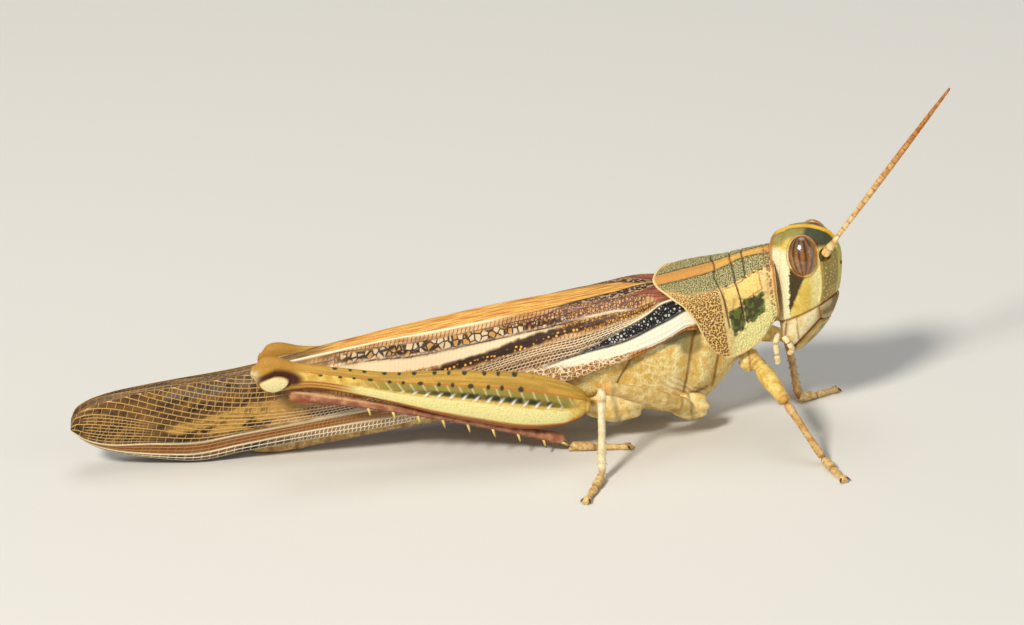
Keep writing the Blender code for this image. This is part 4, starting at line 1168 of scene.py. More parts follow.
def wing_marks(x, share):
    """Colour fields and lines of the fore wing, each from 0 to 1."""
    row, height = vein_rows(x, share)
    fields = fields_of_wing(x, share, row)
    near_rows = {vein: (row - vein) * height for vein in WING_VEINS}
    ink = bump(near_rows[7], 0.07) * step(x, -19, -13) * step(7 - x, 0, 2)
    ink = np.maximum(ink, bump(near_rows[4], 0.12) * step(x, 3, 7))
    cream_edge = (share - smooth(WING_FIELDS["cream"][0], x)) * smooth(WING_FIELD_HEIGHT, x)
    ink = np.maximum(ink, bump(cream_edge, 0.13) * step(x, 1, 5))
    ink = np.maximum(ink, 0.8 * bump(near_rows[13], 0.07) * step(x, -6, 3))
    pearl = bump(near_rows[4], 0.08) * step(2 - x, 0, 6) * step(x, -28, -20)
    pearl = np.maximum(pearl, bump(near_rows[7], 0.08) * step(x, 6, 8) * step(12.6 - x, 0, 2))
    pearl = np.maximum(pearl, bump(near_rows[13] + 0.12, 0.05) * step(x, 10, 13))
    pearl = np.maximum(pearl, 0.85 * step(-0.86 - share, 0, 0.06) * step(-21 - x, 0, 4))
    for vein in (16, 19, 21):
        pearl = np.maximum(pearl, bump(near_rows[vein], 0.07) * step(0 - x, 0, 8))
    upper, lower = (smooth(edge, x) for edge in WING_FIELDS["dark_patch"])
    fields["dots"] = step(share, upper * 0.62 + lower * 0.38, upper * 0.5 + lower * 0.5)
    fields["dots"] *= step(lower + 0.012 - share, 0, 0.01) * step(fields["dark_patch"], 0.3, 0.7)
    fields["dots"] *= step(8 - x, 0, 2)
    fields.update(row=row, row_height=height, run=x, down=share * smooth(WING_FIELD_HEIGHT, x))
    fields.update(ink=ink, pearl=pearl, wide_rows=step(height, 0.7, 1.0) * fields["smoke"])
    return fields


def make_fore_wing(side_name, finish):
    """One leathery sheet with raised veins; its faces meet at thin edges."""

    def relief(u, v, points):
        share = wing_share(v)
        x = points[:, 0]
        ends = np.minimum(u * 60, (1 - u) * 60)
        edge = np.sqrt(np.clip(np.minimum(ends, (1 - np.abs(share)) * 14), 0, 1))
        return WING_WALL / 2 * edge + np.where(v < OUTER_FACE, vein_ridges(x, share) * edge, 0.0)

    inwards = side_name == "left"
    mesh = bent_grid(600, 150, raised(wing_base(side_name), relief, inwards=inwards))
    u, v = marked(mesh, "along"), marked(mesh, "around")
    share = wing_share(v)
    mark(mesh, **wing_marks(WING_BASE_X + (WING_TIP_X - WING_BASE_X) * u, share))
    add_piece(f"fore_wing_{side_name}", closed(mesh), finish, [f"tegmen_{side_name}"])


def make_hind_wing(side_name, finish):
    """The folded fan, close pleats one behind the other."""
    side = SIDES[side_name]

    def base(u, v):
        x = HIND_WING_SPAN[0] + (HIND_WING_SPAN[1] - HIND_WING_SPAN[0]) * u
        down = np.where(v < 0.5, v * 2, 2 - v * 2)
        top = smooth(WING_TOP, x) - 1.0
        belly = smooth(column(TRUNK, 1), np.maximum(x, -28.6)) + 0.7
        low = np.maximum(np.where(x > -31.5, belly, 0.0), smooth(WING_LOW, x) + 0.5)
        face = np.where(v < 0.5, 1, -1) * 0.2 * np.sqrt(np.clip(np.minimum(down, 1 - down) * 12, 0, 1))
        pleat = 0.05 * np.sin(down * 60) * np.clip(np.minimum(down, 1 - down) * 8, 0, 1)
        face *= np.sqrt(np.clip(np.minimum(u, 1 - u) * 40, 0, 1))
        return np.stack((x, side * HIND_WING_Y + face + pleat, top + (low - top) * down), axis=1)

    mesh = bent_grid(120, 200, base)
    v = marked(mesh, "around")
    down = np.where(v < 0.5, v * 2, 2 - v * 2)
    mark(mesh, pleat=0.5 + 0.5 * np.sin(down * 60))
    add_piece(f"hind_wing_{side_name}", closed(mesh), finish, [f"hindwing_{side_name}"])


# Legs.
def hind_thigh_marks(t, angle, outward):
    """t runs from hip to knee; the marks are for the outer face unless they ring the whole thigh."""
    high, out = np.sin(angle), np.cos(angle) * outward
    outer = step(out, 0.0, 0.2)
    length = t * HIND_THIGH_LENGTH
    knee = step(t, 0.872, 0.90)
    low_edge = smooth(((0.0, 0.0), (0.08, 0.02), (0.2, 0.06), (0.38, 0.06), (0.55, 0.0), (0.7, 0.05)), t)
    slant = (length - 1.5 * (high - 0.1)) / RIB_SPACING
    cross = (length + 1.9 * (high - 0.1)) / RIB_SPACING
    panel = step(high, low_edge - 0.02, low_edge + 0.04) * step(0.58 - high, 0, 0.06)
    panel *= step(t, 0.02, 0.06) * step(0.72 - t, 0, 0.14) * outer
    rib = bump(np.minimum(slant % 1, 1 - slant % 1) * RIB_SPACING, 0.09) * panel
    groove = step(high, low_edge - 0.04, low_edge + 0.06) * step(low_edge + 0.30 - high, 0, 0.14)
    groove *= step(t, 0.05, 0.1) * step(0.60 - t, 0, 0.2) * outer
    groove *= 0.55 + 0.45 * step(grain(length * 1.6, 2.5 + 0 * t, 8), 0.3, 0.5)
    tick = bump(np.minimum(cross % 1, 1 - cross % 1) * RIB_SPACING, 0.14)
    tick *= bump(high - low_edge - 0.03, 0.11) * step(t, 0.06, 0.1) * step(0.64 - t, 0, 0.15) * outer
    dots = np.zeros_like(t)
    for level, shift in ((0.985, 0.0), (0.58 - 0.16 * step(t, 0.64, 0.8), 0.35)):
        spot = (length / THIGH_DOT_SPACING + shift + 0.12 * np.sin(length * 1.3)) % 1.0 - 0.5
        reach = 0.4 * (1 - np.clip(high, 0, 1) ** 2) ** 0.5 + 0.25
        dots = np.maximum(dots, step(0.2 - np.hypot(spot * 1.2, (high - level) / reach), 0, 0.08))
    dots *= step(t, 0.16, 0.2) * step(0.82 - t, 0, 0.02) * step(out, -0.15, 0.05)
    carinas = bump(high - 0.58, 0.04) + bump(high + 0.72, 0.04)
    fore_knee = (t - 0.938) / 0.043
    knee_high = (high + 0.35) / 0.47 + 0.35 * fore_knee
    round_knee = np.hypot(fore_knee, knee_high / (0.95 - 0.3 * np.clip(fore_knee, 0, 1)))
    crescent = step(round_knee, 0.98, 1.08) * step(2.25 - round_knee, 0, 0.7)
    tip_distance = np.hypot((t - 1.0) / 0.016, (high + 0.05) / 0.5)
    under_side = step(-0.02 - high, 0, 0.12) * step(t, 0.68, 0.76) * (1 - step(t, 0.885, 0.9))
    under_lines = bump(high + 0.22, 0.05) + bump(high + 0.48, 0.05) + step(-0.66 - high, 0, 0.1)
    return {
        "top": step(high, 0.5, 0.6), "herring": panel, "rib": rib, "tick": tick, "groove": groove,
        "dots": dots, "carina": np.clip(carinas, 0, 1) * step(0.86 - t, 0, 0.04),
        "cream": step(low_edge - 0.08 - high, 0, 0.05) * step(high, -0.74, -0.66)
        * step(0.80 - t, 0, 0.16) * step(t, 0.035, 0.06) * outer,
        "edge": step(-0.72 - high, 0, 0.08) * (1 - knee),
        "knee": step(t, 0.84, 0.90),
        "crescent": crescent * step(high, -0.62, -0.3) * step(out, -0.7, -0.3),
        "streaks": step(high, 0.55, 0.65) * step(grain(length * 0.35, angle * 9, 21), 0.45, 0.7),
        "lobe": step(1.04 - round_knee, 0, 0.12) * outer, "lobe_line": bump(round_knee - 1.1, 0.09) * outer,
        "under_knee": under_side, "knee_tip": bump(tip_distance, 0.9) * outer,
        "under_lines": under_side * np.clip(under_lines, 0, 1),
    }


def make_hind_thigh(side_name, finish):
    """A great swollen thigh: carinas, a herringbone of slanting ribs, and a round-lobed knee."""
    side = SIDES[side_name]
    route = straight(sided(HIND_HIP, side), sided(HIND_KNEE[side_name], side))
    depth, thick, lift = (column(HIND_THIGH, k) for k in (1, 2, 3))

    def section(u, angle):
        t, drawn = capped(u, 0.012)
        marks = hind_thigh_marks(t, angle, side)
        swell = 0.06 * marks["rib"] + 0.06 * marks["carina"] - 0.12 * marks["groove"] + 0.05 * marks["tick"]
        swell += 0.22 * marks["lobe"] - 0.08 * marks["lobe_line"] - 0.10 * marks["crescent"]
        swell += -0.03 * marks["dots"] - 0.06
        flat = 1 - 0.10 * bump(np.sin(angle), 0.5)
        slit = bump(np.cos(angle), 0.38) * step(-np.sin(angle), 0.2, 0.6) * step(t, 0.86, 0.9)
        wide = (smooth(thick, t) * flat + swell) * drawn
        tall = (smooth(depth, t) + 0.4 * swell - 0.6 * slit) * drawn
        return wide * np.cos(angle), tall * np.sin(angle) + smooth(lift, t)

    mesh = closed(bent_grid(560, 150, tube(route, section)))
    t, _ = capped(marked(mesh, "along"), 0.012)
    mark(mesh, **hind_thigh_marks(t, math.tau * marked(mesh, "around"), side))
    add_piece(f"hind_thigh_{side_name}", mesh, finish, [f"femur_hind_{side_name}"])


def shin_line(side_name):
    """The bowed middle line of a hind shin, from the knee down to the ankle."""
    side = SIDES[side_name]
    top, bend = sided(HIND_SHIN_TOP[side_name], side), sided(HIND_SHIN_BEND[side_name], side)
    ankle = sided(HIND_ANKLE, side) - UP * ANKLE_OVERLAP
    lift = (bend - (top + ankle) / 2) * 2

    def route(t):
        t = np.asarray(t)[:, None]
        return top * (1 - t) + ankle * t + lift * (2 * t * (1 - t))

    return route


def spike(root, lean, radius, length, sides=10):
    """One spine with a swollen foot and a sharp tip, made by drawing a ring out and in."""
    lean = Vector(lean).normalized()
    turn = lean.to_track_quat("Z", "Y").to_matrix().to_4x4()
    bm = bmesh.new()
    ring = bmesh.ops.create_circle(bm, segments=sides, radius=radius * 1.35, cap_ends=True)["verts"]
    for rise, narrow in ((0.06, 0.85), (0.22, 0.84), (0.4, 0.8), (0.27, 0.35)):
        faces = [face for face in bm.faces if all(vert in ring for vert in face.verts)]
        drawn = bmesh.ops.extrude_face_region(bm, geom=faces)["geom"]
        bmesh.ops.delete(bm, geom=faces, context="FACES_ONLY")
        ring = [item for item in drawn if isinstance(item, bmesh.types.BMVert)]
        middle = sum((vert.co for vert in ring), Vector()) / len(ring)
        bmesh.ops.scale(bm, vec=(narrow, narrow, 1), space=Matrix.Translation(-middle), verts=ring)
        bmesh.ops.translate(bm, vec=(0, 0, length * rise), verts=ring)
    bmesh.ops.transform(bm, matrix=Matrix.Translation(Vector(root)) @ turn, verts=bm.verts)
    mesh = mesh_of(bm, "spike")
    points = places(mesh)
    mark(mesh, tip=step((points - np.array(root)) @ np.array(lean) / length, 0.62, 0.74))
    return mesh


def make_hind_shin(side_name, shin_finish, spine_finish):
    """A slim shin with two rows of black-tipped spines and spurs by the foot."""
    route = shin_line(side_name)

    def section(u, angle):
        t, drawn = capped(u, 0.015)
        bulb = 0.12 * step(0.3 - t, 0, 0.25) + 0.06 * bump(t - 0.03, 0.03) + 0.12 * bump(t - 0.97, 0.03)
        radius = (HIND_SHIN_RADIUS - 0.07 - 0.08 * np.sin(math.pi * t) + bulb) * drawn
        return radius * np.cos(angle), radius * np.sin(angle) * 1.05

    mesh = closed(bent_grid(260, 30, tube(route, section)))
    t, around = marked(mesh, "along"), marked(mesh, "around")
    low = -np.sin(math.tau * around)
    mark(
        mesh, under=step(low, 0.1, 0.6) * step(t, 0.02, 0.2), ends=1 - step(t, 0.0, 0.03),
        blush=bump(t - 0.06, 0.035) * step(low, -0.2, 0.5),
        pale_line=bump(low + 0.75, 0.16) * step(0.5 - t, 0, 0.3),
    )
    add_piece(f"hind_shin_{side_name}", mesh, shin_finish, [f"tibia_hind_{side_name}"])
    spines = []
    for row in (-1, 1):
        for t in np.linspace(*SPINE_SPAN, SPINE_COUNT):
            lean = (SPINE_LEAN[0], SPINE_LEAN[1] * row, SPINE_LEAN[2])
            root = route(np.array([t + 0.012 * row]))[0] + 0.7 * HIND_SHIN_RADIUS * np.array(lean)
            spines.append(spike(root, lean, 0.13, SPINE_LENGTH))
        for length in SPUR_LENGTHS:
            root = route(np.array([0.985]))[0] + np.array((0.1, 0.35 * row, -0.2))
            spines.append(spike(root, (1.0, 0.4 * row, -0.45), 0.12, length))
    add_piece(f"shin_spines_{side_name}", joined(spines), spine_finish)


def make_walking_leg(kind, side_name, finish, spine_finish):
    """A front or middle leg: thigh, shin and two rows of short spines."""
    side = SIDES[side_name]
    route = MID_LEG if kind == "mid" else FRONT_LEG[side_name]
    hip, knee, ankle = (sided(point, side) for point in route)
    thigh_line = (knee - hip) / np.linalg.norm(knee - hip)
    shin_line_of_leg = (ankle - knee) / np.linalg.norm(ankle - knee)
    shin_start = knee + shin_line_of_leg * KNEE_OVERLAP
    hip = hip - thigh_line * HIP_OVERLAP
    ankle = ankle - UP * ANKLE_OVERLAP
    name = f"{kind}_{side_name}"
    lengths = {
        "femur": (hip, knee, WALKING_THIGH, 0.05), "tibia": (shin_start, ankle, WALKING_SHIN, 0.02),
    }
    for part, (start, end, stations, ridge) in lengths.items():

        def section(u, angle, stations=stations, ridge=ridge):
            t, drawn = capped(u, 0.03)
            ribs = ridge * np.abs(np.cos(2 * angle)) - 0.04
            radius = (smooth(stations, t) + ribs) * drawn
            return radius * np.cos(angle), radius * np.sin(angle)

        mesh = closed(bent_grid(150, 48, tube(straight(start, end), section)))
        t = marked(mesh, "along")
        mark(mesh, knee=step(t, 0.90, 0.95) + (1 - step(t, 0.0, 0.05)), ring=bump(t - 0.15, 0.02))
        add_piece(f"walking_{part}_{name}", mesh, finish[part], [f"{part}_{name}"])
    spines = []
    out = np.cross(shin_line_of_leg, UP)
    out /= np.linalg.norm(out)
    for row in (-1, 1):
        for t in np.linspace(*WALKING_SPINE_SPAN, WALKING_SPINE_COUNT):
            root = shin_start + (ankle - shin_start) * t + out * row * 0.24
            lean = out * row * 0.8 + shin_line_of_leg
            spines.append(spike(root, lean, 0.06, WALKING_SPINE_LENGTH, 8))
    add_piece(f"walking_spines_{name}", joined(spines), spine_finish)


def make_foot(kind, side_name, finish, claw_finish):
    """Three-jointed foot on soft pads, with two hooked claws."""
    side = SIDES[side_name]
    heading = FOOT_HEADING[kind, side_name]
    ahead = np.array((math.cos(heading), math.sin(heading), 0.0))
    across = np.array((-ahead[1], ahead[0], 0.0))
    ankle = {"hind": HIND_ANKLE, "mid": MID_LEG[2]}.get(kind) or FRONT_LEG[side_name][2]
    start = sided((ankle[0], ankle[1], 0.0), side) + ahead * FOOT_START[kind]
    length = FOOT_LENGTH[kind]

    def place(u, v):
        t, drawn = capped(u, 0.03)
        angle = math.tau * v
        wide = smooth(column(FOOT, 1), t) * drawn * rounded(np.cos(angle), 2.4)
        high = smooth(column(FOOT, 2), t)
        pads = 0.07 * np.abs(np.sin(t * math.pi * 5)) * step(0.45 - t, 0, 0.05)
        lift = high * (0.5 + 0.5 * drawn * rounded(np.sin(angle), 2.2)) + pads * (np.sin(angle) < -0.2)
        pinch = 1 - 0.2 * bump(t - 0.42, 0.02) - 0.15 * bump(t - 0.22, 0.02)
        return start + ahead * (length * t)[:, None] + across * (wide * pinch)[:, None] + UP * lift[:, None]

    mesh = closed(bent_grid(120, 40, place))
    z = places(mesh)[:, 2]
    mark(mesh, sole=step(0.16 - z, 0, 0.1), joint=bump(marked(mesh, "along") - 0.42, 0.03))
    add_piece(f"foot_{kind}_{side_name}", mesh, finish, [f"tarsus_{kind}_{side_name}"])
    claws = []
    for turn in (-1, 1):
        root = start + ahead * length * 0.90 + across * 0.16 * turn + UP * 0.38
        bend = root + ahead * 0.30 + across * 0.26 * turn + UP * 0.06
        tip = bend + ahead * 0.12 + across * 0.10 * turn - UP * 0.32
        claws.append(jointed([root, bend, tip], (0.13, 0.11, 0.03), 16, 12, 0.1))
    add_piece(f"claws_{kind}_{side_name}", joined(claws), claw_finish)


def make_coxa(kind, side_name, finish):
    """The hip: a rounded block with faint folds and one seam."""
    side = SIDES[side_name]
    centre = sided(COXA_CENTRES[kind], side)
    block = ball("coxa", 48, 36)
    x, _, z = places(block).T
    folds = 0.06 * np.sin(z * 9 + x * 2) * step(np.abs(x), 0.1, 0.7) - 0.05
    radii = np.array(COXA_RADII[kind])
    put_places(block, places(block) * (1 + folds)[:, None] * radii + centre)
    mark(block, seam=bump(x + 0.1 * z, 0.09), wrinkle=step(folds, 0.0, 0.03), shade=0 * x, pit=0 * x)
    nodes = [f"coxa_{kind}_{side_name}"]
    add_piece(f"hip_{kind}_{side_name}", closed(block), finish, nodes)


# Finishes.
def tone(colour):
    """An sRGB colour such as "#C58B51" as the linear values a shader takes."""
    parts = [int(colour[i:i + 2], 16) / 255 for i in (1, 3, 5)]
    return (*[c / 12.92 if c <= 0.04045 else ((c + 0.055) / 1.055) ** 2.4 for c in parts], 1.0)


def add(tree, kind, inputs=None, **settings):
    """A node with its settings; each input is given a value or another node's output."""
    node = tree.nodes.new("ShaderNode" + kind)
    for name, value in settings.items():
        setattr(node, name, value)
    for name, value in (inputs or {}).items():
        if isinstance(value, bpy.types.NodeSocket):
            tree.links.new(value, node.inputs[name])
        else:
            node.inputs[name].default_value = value
    return node


def blank(name):
    """A new material, its node tree and its shader."""
    made = bpy.data.materials.new(name)
    made.use_nodes = True
    return made, made.node_tree, made.node_tree.nodes["Principled BSDF"]


def spot_of(tree):
    """The place on the piece, in its own space."""
    return add(tree, "TexCoord").outputs["Object"]


def number(tree, name):
    """A marking of the mesh, as a number for the shader."""
    return add(tree, "Attribute", attribute_name=name).outputs["Fac"]


def maths(tree, operation, *values):
    """One operation on one, two or three values."""
    return add(tree, "Math", dict(enumerate(values)), operation=operation).outputs[0]


def ramp(tree, value, start, end, first=0.0, last=1.0, curve="LINEAR"):
    """A number that runs from first to last while the value runs from start to end."""
    ranges = {"Value": value, 1: start, 2: end, 3: first, 4: last}
    return add(tree, "MapRange", ranges, interpolation_type=curve).outputs[0]


def thin(tree, distance, width):
    """1 on a line, 0 beyond the width."""
    return ramp(tree, distance, width, width * 0.4, curve="SMOOTHSTEP")


def gathered(tree, operation, amounts):
    """Several amounts taken into one, two at a time."""
    whole = amounts[0]
    for amount in amounts[1:]:
        whole = maths(tree, operation, whole, amount)
    return whole


def times(tree, *amounts):
    """Amounts multiplied together."""
    return gathered(tree, "MULTIPLY", amounts)


def either(tree, *amounts):
    """The largest of the amounts."""
    return gathered(tree, "MAXIMUM", amounts)


def laid(tree, amount, below, above):
    """Colour above laid over colour below by amount."""
    return add(tree, "Mix", {0: amount, 6: below, 7: above}, data_type="RGBA").outputs[2]


def painted(tree, ground, coats):
    """Markings laid one over another; each is a mark's name, its colour and how strong it is."""
    for name, colour, strength in coats:
        amount = number(tree, name)
        if strength < 1:
            amount = times(tree, amount, strength)
        ground = laid(tree, amount, ground, tone(colour))
    return ground


def clouds(tree, spot, size, low=0.35, high=0.65, detail=4.0):
    """Soft patches from 0 to 1, size millimetres apart."""
    noise = add(tree, "TexNoise", {"Vector": spot, "Scale": 1 / (size * MM), "Detail": detail})
    return ramp(tree, noise.outputs["Fac"], low, high, curve="SMOOTHSTEP")


def surface(tree, shader, colour, height, depth, rough, gloss=0.34):
    """Colour, gloss that varies a little, and relief of depth millimetres."""
    varied = ramp(tree, height, 0.0, 1.0, rough + 0.08, max(rough - 0.08, 0.05))
    bumps = add(tree, "Bump", {"Height": height, "Distance": depth * MM, "Strength": 1.0})
    for name, value in {"Base Color": colour, "Roughness": varied, "Normal": bumps.outputs[0]}.items():
        tree.links.new(value, shader.inputs[name])
    shader.inputs["Specular IOR Level"].default_value = gloss
    shader.inputs["Subsurface Weight"].default_value = 0.06
    shader.inputs["Subsurface Radius"].default_value = (0.9, 0.5, 0.2)
    shader.inputs["Subsurface Scale"].default_value = 0.25 * MM


def cuticle(name, low, high, speck, coats=(), rough=0.42, size=0.5, specks=0.35, late=()):
    """Hard skin: two clouded tones with fine specks, then markings, under a fine pitted gloss."""
    made, tree, shader = blank(name)
    spot = spot_of(tree)
    ground = laid(tree, clouds(tree, spot, size), tone(low), tone(high))
    ground = painted(tree, ground, coats)
    fine = clouds(tree, spot, 0.13, 0.5, 0.68)
    ground = laid(tree, times(tree, fine, specks), ground, tone(speck))
    ground = painted(tree, ground, late)
    pore = add(tree, "TexVoronoi", {"Vector": spot, "Scale": 1 / (0.2 * MM)}).outputs["Distance"]
    grained = maths(tree, "ADD", pore, clouds(tree, spot, 0.08))
    surface(tree, shader, ground, grained, 0.02, rough)
    return made


def head_finish():
    """Mottled cheeks, a yellow crown stripe edged brown, a teal brow and the dark streak under the eye."""
    coats = (
        ("gena", "#FCF3C4", 1), ("cheek", "#DDBC50", 0.6), ("panel", "#F3E6A0", 0.85),
        ("olive", "#8A8448", 0.85), ("frons", "#96803A", 1), ("amber", "#C09C48", 0.7),
        ("ridge", "#CDC468", 1), ("teal", "#1F3A2E", 0.95), ("stripe_rim", "#5E3A14", 0.8),
        ("stripe", "#F0BE38", 1), ("streak", "#2E220C", 0.97), ("carina", "#F2E3A0", 0.8),
        ("seam", "#B0682A", 0.65), ("hem", "#B8641E", 0.7),
    )
    late = (
        ("dots", "#FFF8DC", 0.9), ("eye_ring", "#7A4A1C", 0.6), ("eye_rim", "#E09A48", 0.9),
        ("socket", "#4A2A10", 0.6),
    )
    return cuticle("Head cuticle", "#D9B345", "#F2DC80", "#7A5420", coats, 0.36, 0.6, 0.35, late)


def mouth_finish():
    coats = (
        # dark is painted shade on the labrum's front; the other coats are the plates' own colours.
        ("olive", "#7A5F22", 0.95), ("dark", "#9A6A24", 0.85), ("edge", "#AA6A2C", 0.7),
        ("line", "#7E4C20", 0.8), ("tooth", "#4A2814", 0.8), ("lip", "#F0D070", 0.7),
    )
    return cuticle("Mouth plates cuticle", "#EDD58C", "#FCF1C4", "#A87A3A", coats, 0.36, 0.5, 0.3)


def palp_finish():
    return cuticle("Palp cuticle", "#E9CF93", "#FAEFC6", "#B88A4A", (), 0.35, 0.4, 0.25)


def pronotum_finish():
    """Buff shield crowded with dark pits, an orange ridge stripe, yellow and dark green side patches."""
    coats = (
        ("metazona", "#EFC878", 0.9), ("disc", "#9C965C", 0.9), ("stipple", "#283018", 0.95),
        ("fleck", "#E6DAA2", 0.8), ("pale_lobe", "#EEE38A", 1), ("granule", "#FFF9CC", 0.8),
        ("yellow", "#F8DA80", 1), ("outline", "#C87C24", 0.85), ("dark_patch", "#222E10", 0.96),
        ("dapple", "#63762A", 0.85), ("pit", "#6E3414", 0.92), ("specks", "#1C1A14", 0.95),
        ("stripe", "#DFA04E", 1), ("front_stripe", "#E6B65A", 0.8), ("brow", "#4A3218", 0.8),
        ("collar", "#A0602C", 0.85), ("groove", "#20180C", 0.85),
    )
    late = (("rim", "#F0D590", 1), ("front_line", "#B4661E", 0.95))
    return cuticle("Pronotum cuticle", "#DDBE78", "#F0D894", "#7C4A20", coats, 0.45, 0.6, 0.45, late)


def thorax_finish():
    """Granular buff side plates with brown seams and pale wrinkled folds at the legs, with painted shade in
    the dips by the seams, at the neck and near the shield's hind edge.
    """
    coats = (
        # shade and hollow are painted shade; pit, wrinkle and seam are the plates' own colours.
        ("shade", "#6F7350", 0.85), ("hollow", "#C09A44", 0.45), ("pit", "#A88436", 0.4),
        ("wrinkle", "#F7EBC0", 0.7), ("seam", "#7A5220", 0.7),
    )
    return cuticle("Thorax cuticle", "#E6BC60", "#FBE8A6", "#8A6A24", coats, 0.4, 0.7, 0.3)


def abdomen_finish():
    coats = (("speck", "#8A5A2C", 0.5), ("hem", "#7A4E28", 0.6), ("fold", "#E9D49A", 0.6))
    return cuticle("Abdomen cuticle", "#B98F4E", "#D9BA78", "#7A5228", coats, 0.45, 0.8, 0.35)


def thigh_finish():
    """Ochre above, an olive herringbone, a dark band with white ticks, cream below, red-brown edge."""
    coats = (
        ("top", "#C89C3C", 1), ("streaks", "#9C7C2C", 0.6), ("herring", "#9A8A3A", 1),
        ("rib", "#E6DCA0", 0.85), ("cream", "#F6EBA0", 1), ("groove", "#1E2A14", 0.98),
        ("edge", "#A04A1A", 0.95), ("carina", "#BC6E1E", 0.9), ("under_knee", "#D29440", 0.8),
        ("under_lines", "#7A3410", 0.85), ("knee", "#B8842C", 0.9), ("crescent", "#431204", 1),
        ("lobe_line", "#4A1604", 0.95), ("lobe", "#F3E4A6", 1), ("knee_tip", "#EFE0AC", 0.8),
    )
    late = (("tick", "#FBF6E2", 0.95), ("dots", "#12261E", 0.95))
    return cuticle("Hind thigh cuticle", "#D8A844", "#F0D06E", "#7A4E14", coats, 0.36, 0.8, 0.3, late)


def shin_finish():
    coats = (
        ("under", "#702C16", 0.7), ("ends", "#C98A4A", 0.6), ("blush", "#B4301C", 0.7),
        ("pale_line", "#EBBE82", 0.75),
    )
    return cuticle("Hind shin cuticle", "#94583A", "#C48C66", "#5A2410", coats, 0.35, 0.9, 0.3)


def spine_finish():
    return cuticle("Spines, black tipped", "#E9C86A", "#F4DC8E", "#B88A3A", (), 0.3, 0.4, 0.2,
                   (("tip", "#120D0A", 1),))


def walking_finish(name, low, high, knee, ring):
    coats = (("knee", knee, 0.6), ("ring", ring, 0.5))
    return cuticle(name, low, high, "#7A5420", coats, 0.42, 0.6, 0.3)


def foot_finish():
    coats = (("sole", "#C9B27A", 0.8), ("joint", "#8A5A28", 0.7))
    return cuticle("Foot cuticle", "#C49A58", "#E4C68A", "#7A5428", coats, 0.45, 0.4, 0.3)


def claw_finish():
    return cuticle("Claws", "#5A3216", "#7A4A22", "#2A140A", (), 0.3, 0.4, 0.3)


def antenna_finish():
    """Pale ringed cream at the root, orange-brown further out."""
    made, tree, shader = blank("Feeler cuticle")
    spot = spot_of(tree)
    out = ramp(tree, number(tree, "far"), 0.1, 0.75)
    root = laid(tree, clouds(tree, spot, 0.4), tone("#DFAE62"), tone("#F6DC9E"))
    tip = laid(tree, clouds(tree, spot, 0.4), tone("#9A5A1E"), tone("#C98638"))
    colour = laid(tree, out, root, tip)
    colour = painted(tree, colour, (("ring", "#6E3A14", 0.55),))
    surface(tree, shader, colour, clouds(tree, spot, 0.08), 0.012, 0.4)
    return made


def eye_finish():
    """A glossy lens over orange-brown with darker upright bands, finely faceted."""
    made, tree, shader = blank("Compound eye lens")
    spot = spot_of(tree)
    colour = laid(tree, clouds(tree, spot, 0.5), tone("#804E1C"), tone("#A67034"))
    coats = (("crown", "#5C4A28", 0.75), ("bands", "#2E1A0C", 0.8), ("rim", "#D08A3C", 0.7))
    colour = painted(tree, colour, coats)
    facets = add(tree, "TexVoronoi", {"Vector": spot, "Scale": 1 / (0.06 * MM)}).outputs["Distance"]
    surface(tree, shader, colour, facets, 0.004, 0.2, 0.6)
    shader.inputs["Coat Weight"].default_value = 1.0
    shader.inputs["Coat Roughness"].default_value = 0.06
    return made


def ocellus_finish():
    return cuticle("Ocellus", "#6E1E10", "#8A2C16", "#3A100A", (), 0.12, 0.2, 0.3)


def vein_net(tree, row, height, run, spacing, lean):
    """Rungs between long veins: distances in millimetres to a long vein and to a rung, and a
    random number for each cell."""
    fraction = maths(tree, "FRACT", row)
    which = maths(tree, "FLOOR", row)
    shift = add(tree, "TexWhiteNoise", {"W": which}, noise_dimensions="1D").outputs["Value"]
    long_vein = times(tree, maths(tree, "PINGPONG", row, 0.5), height)
    along = maths(tree, "MULTIPLY_ADD", run, 1 / spacing, shift)
    along = maths(tree, "MULTIPLY_ADD", fraction, lean, along)
    rung = times(tree, maths(tree, "PINGPONG", along, 0.5), spacing)
    cell = add(tree, "CombineXYZ", {"X": maths(tree, "FLOOR", along), "Y": which})
    chance = add(tree, "TexWhiteNoise", {"Vector": cell.outputs[0]}, noise_dimensions="2D")
    return long_vein, rung, chance.outputs["Value"]


def round_cells(tree, spot, size, width=0.088):
    """A net of uneven rounded cells: its lines and a random number for each cell."""
    scale = {"Vector": spot, "Scale": 1 / size, "Randomness": 0.75}
    edges = add(tree, "TexVoronoi", scale, feature="DISTANCE_TO_EDGE").outputs["Distance"]
    chance = add(tree, "TexVoronoi", scale).outputs["Color"]
    chance = add(tree, "SeparateColor", {0: chance}).outputs[0]
    return thin(tree, edges, width / size), chance


def patches(tree, spot, stretch, low, high):
    """Clouds drawn out along the wing, from 0 to 1."""
    drawn = add(tree, "Mapping", {"Vector": spot, "Scale": stretch}).outputs[0]
    noise = add(tree, "TexNoise", {"Vector": drawn, "Scale": 1.0, "Detail": 4.0}).outputs["Fac"]
    return ramp(tree, noise, low, high)


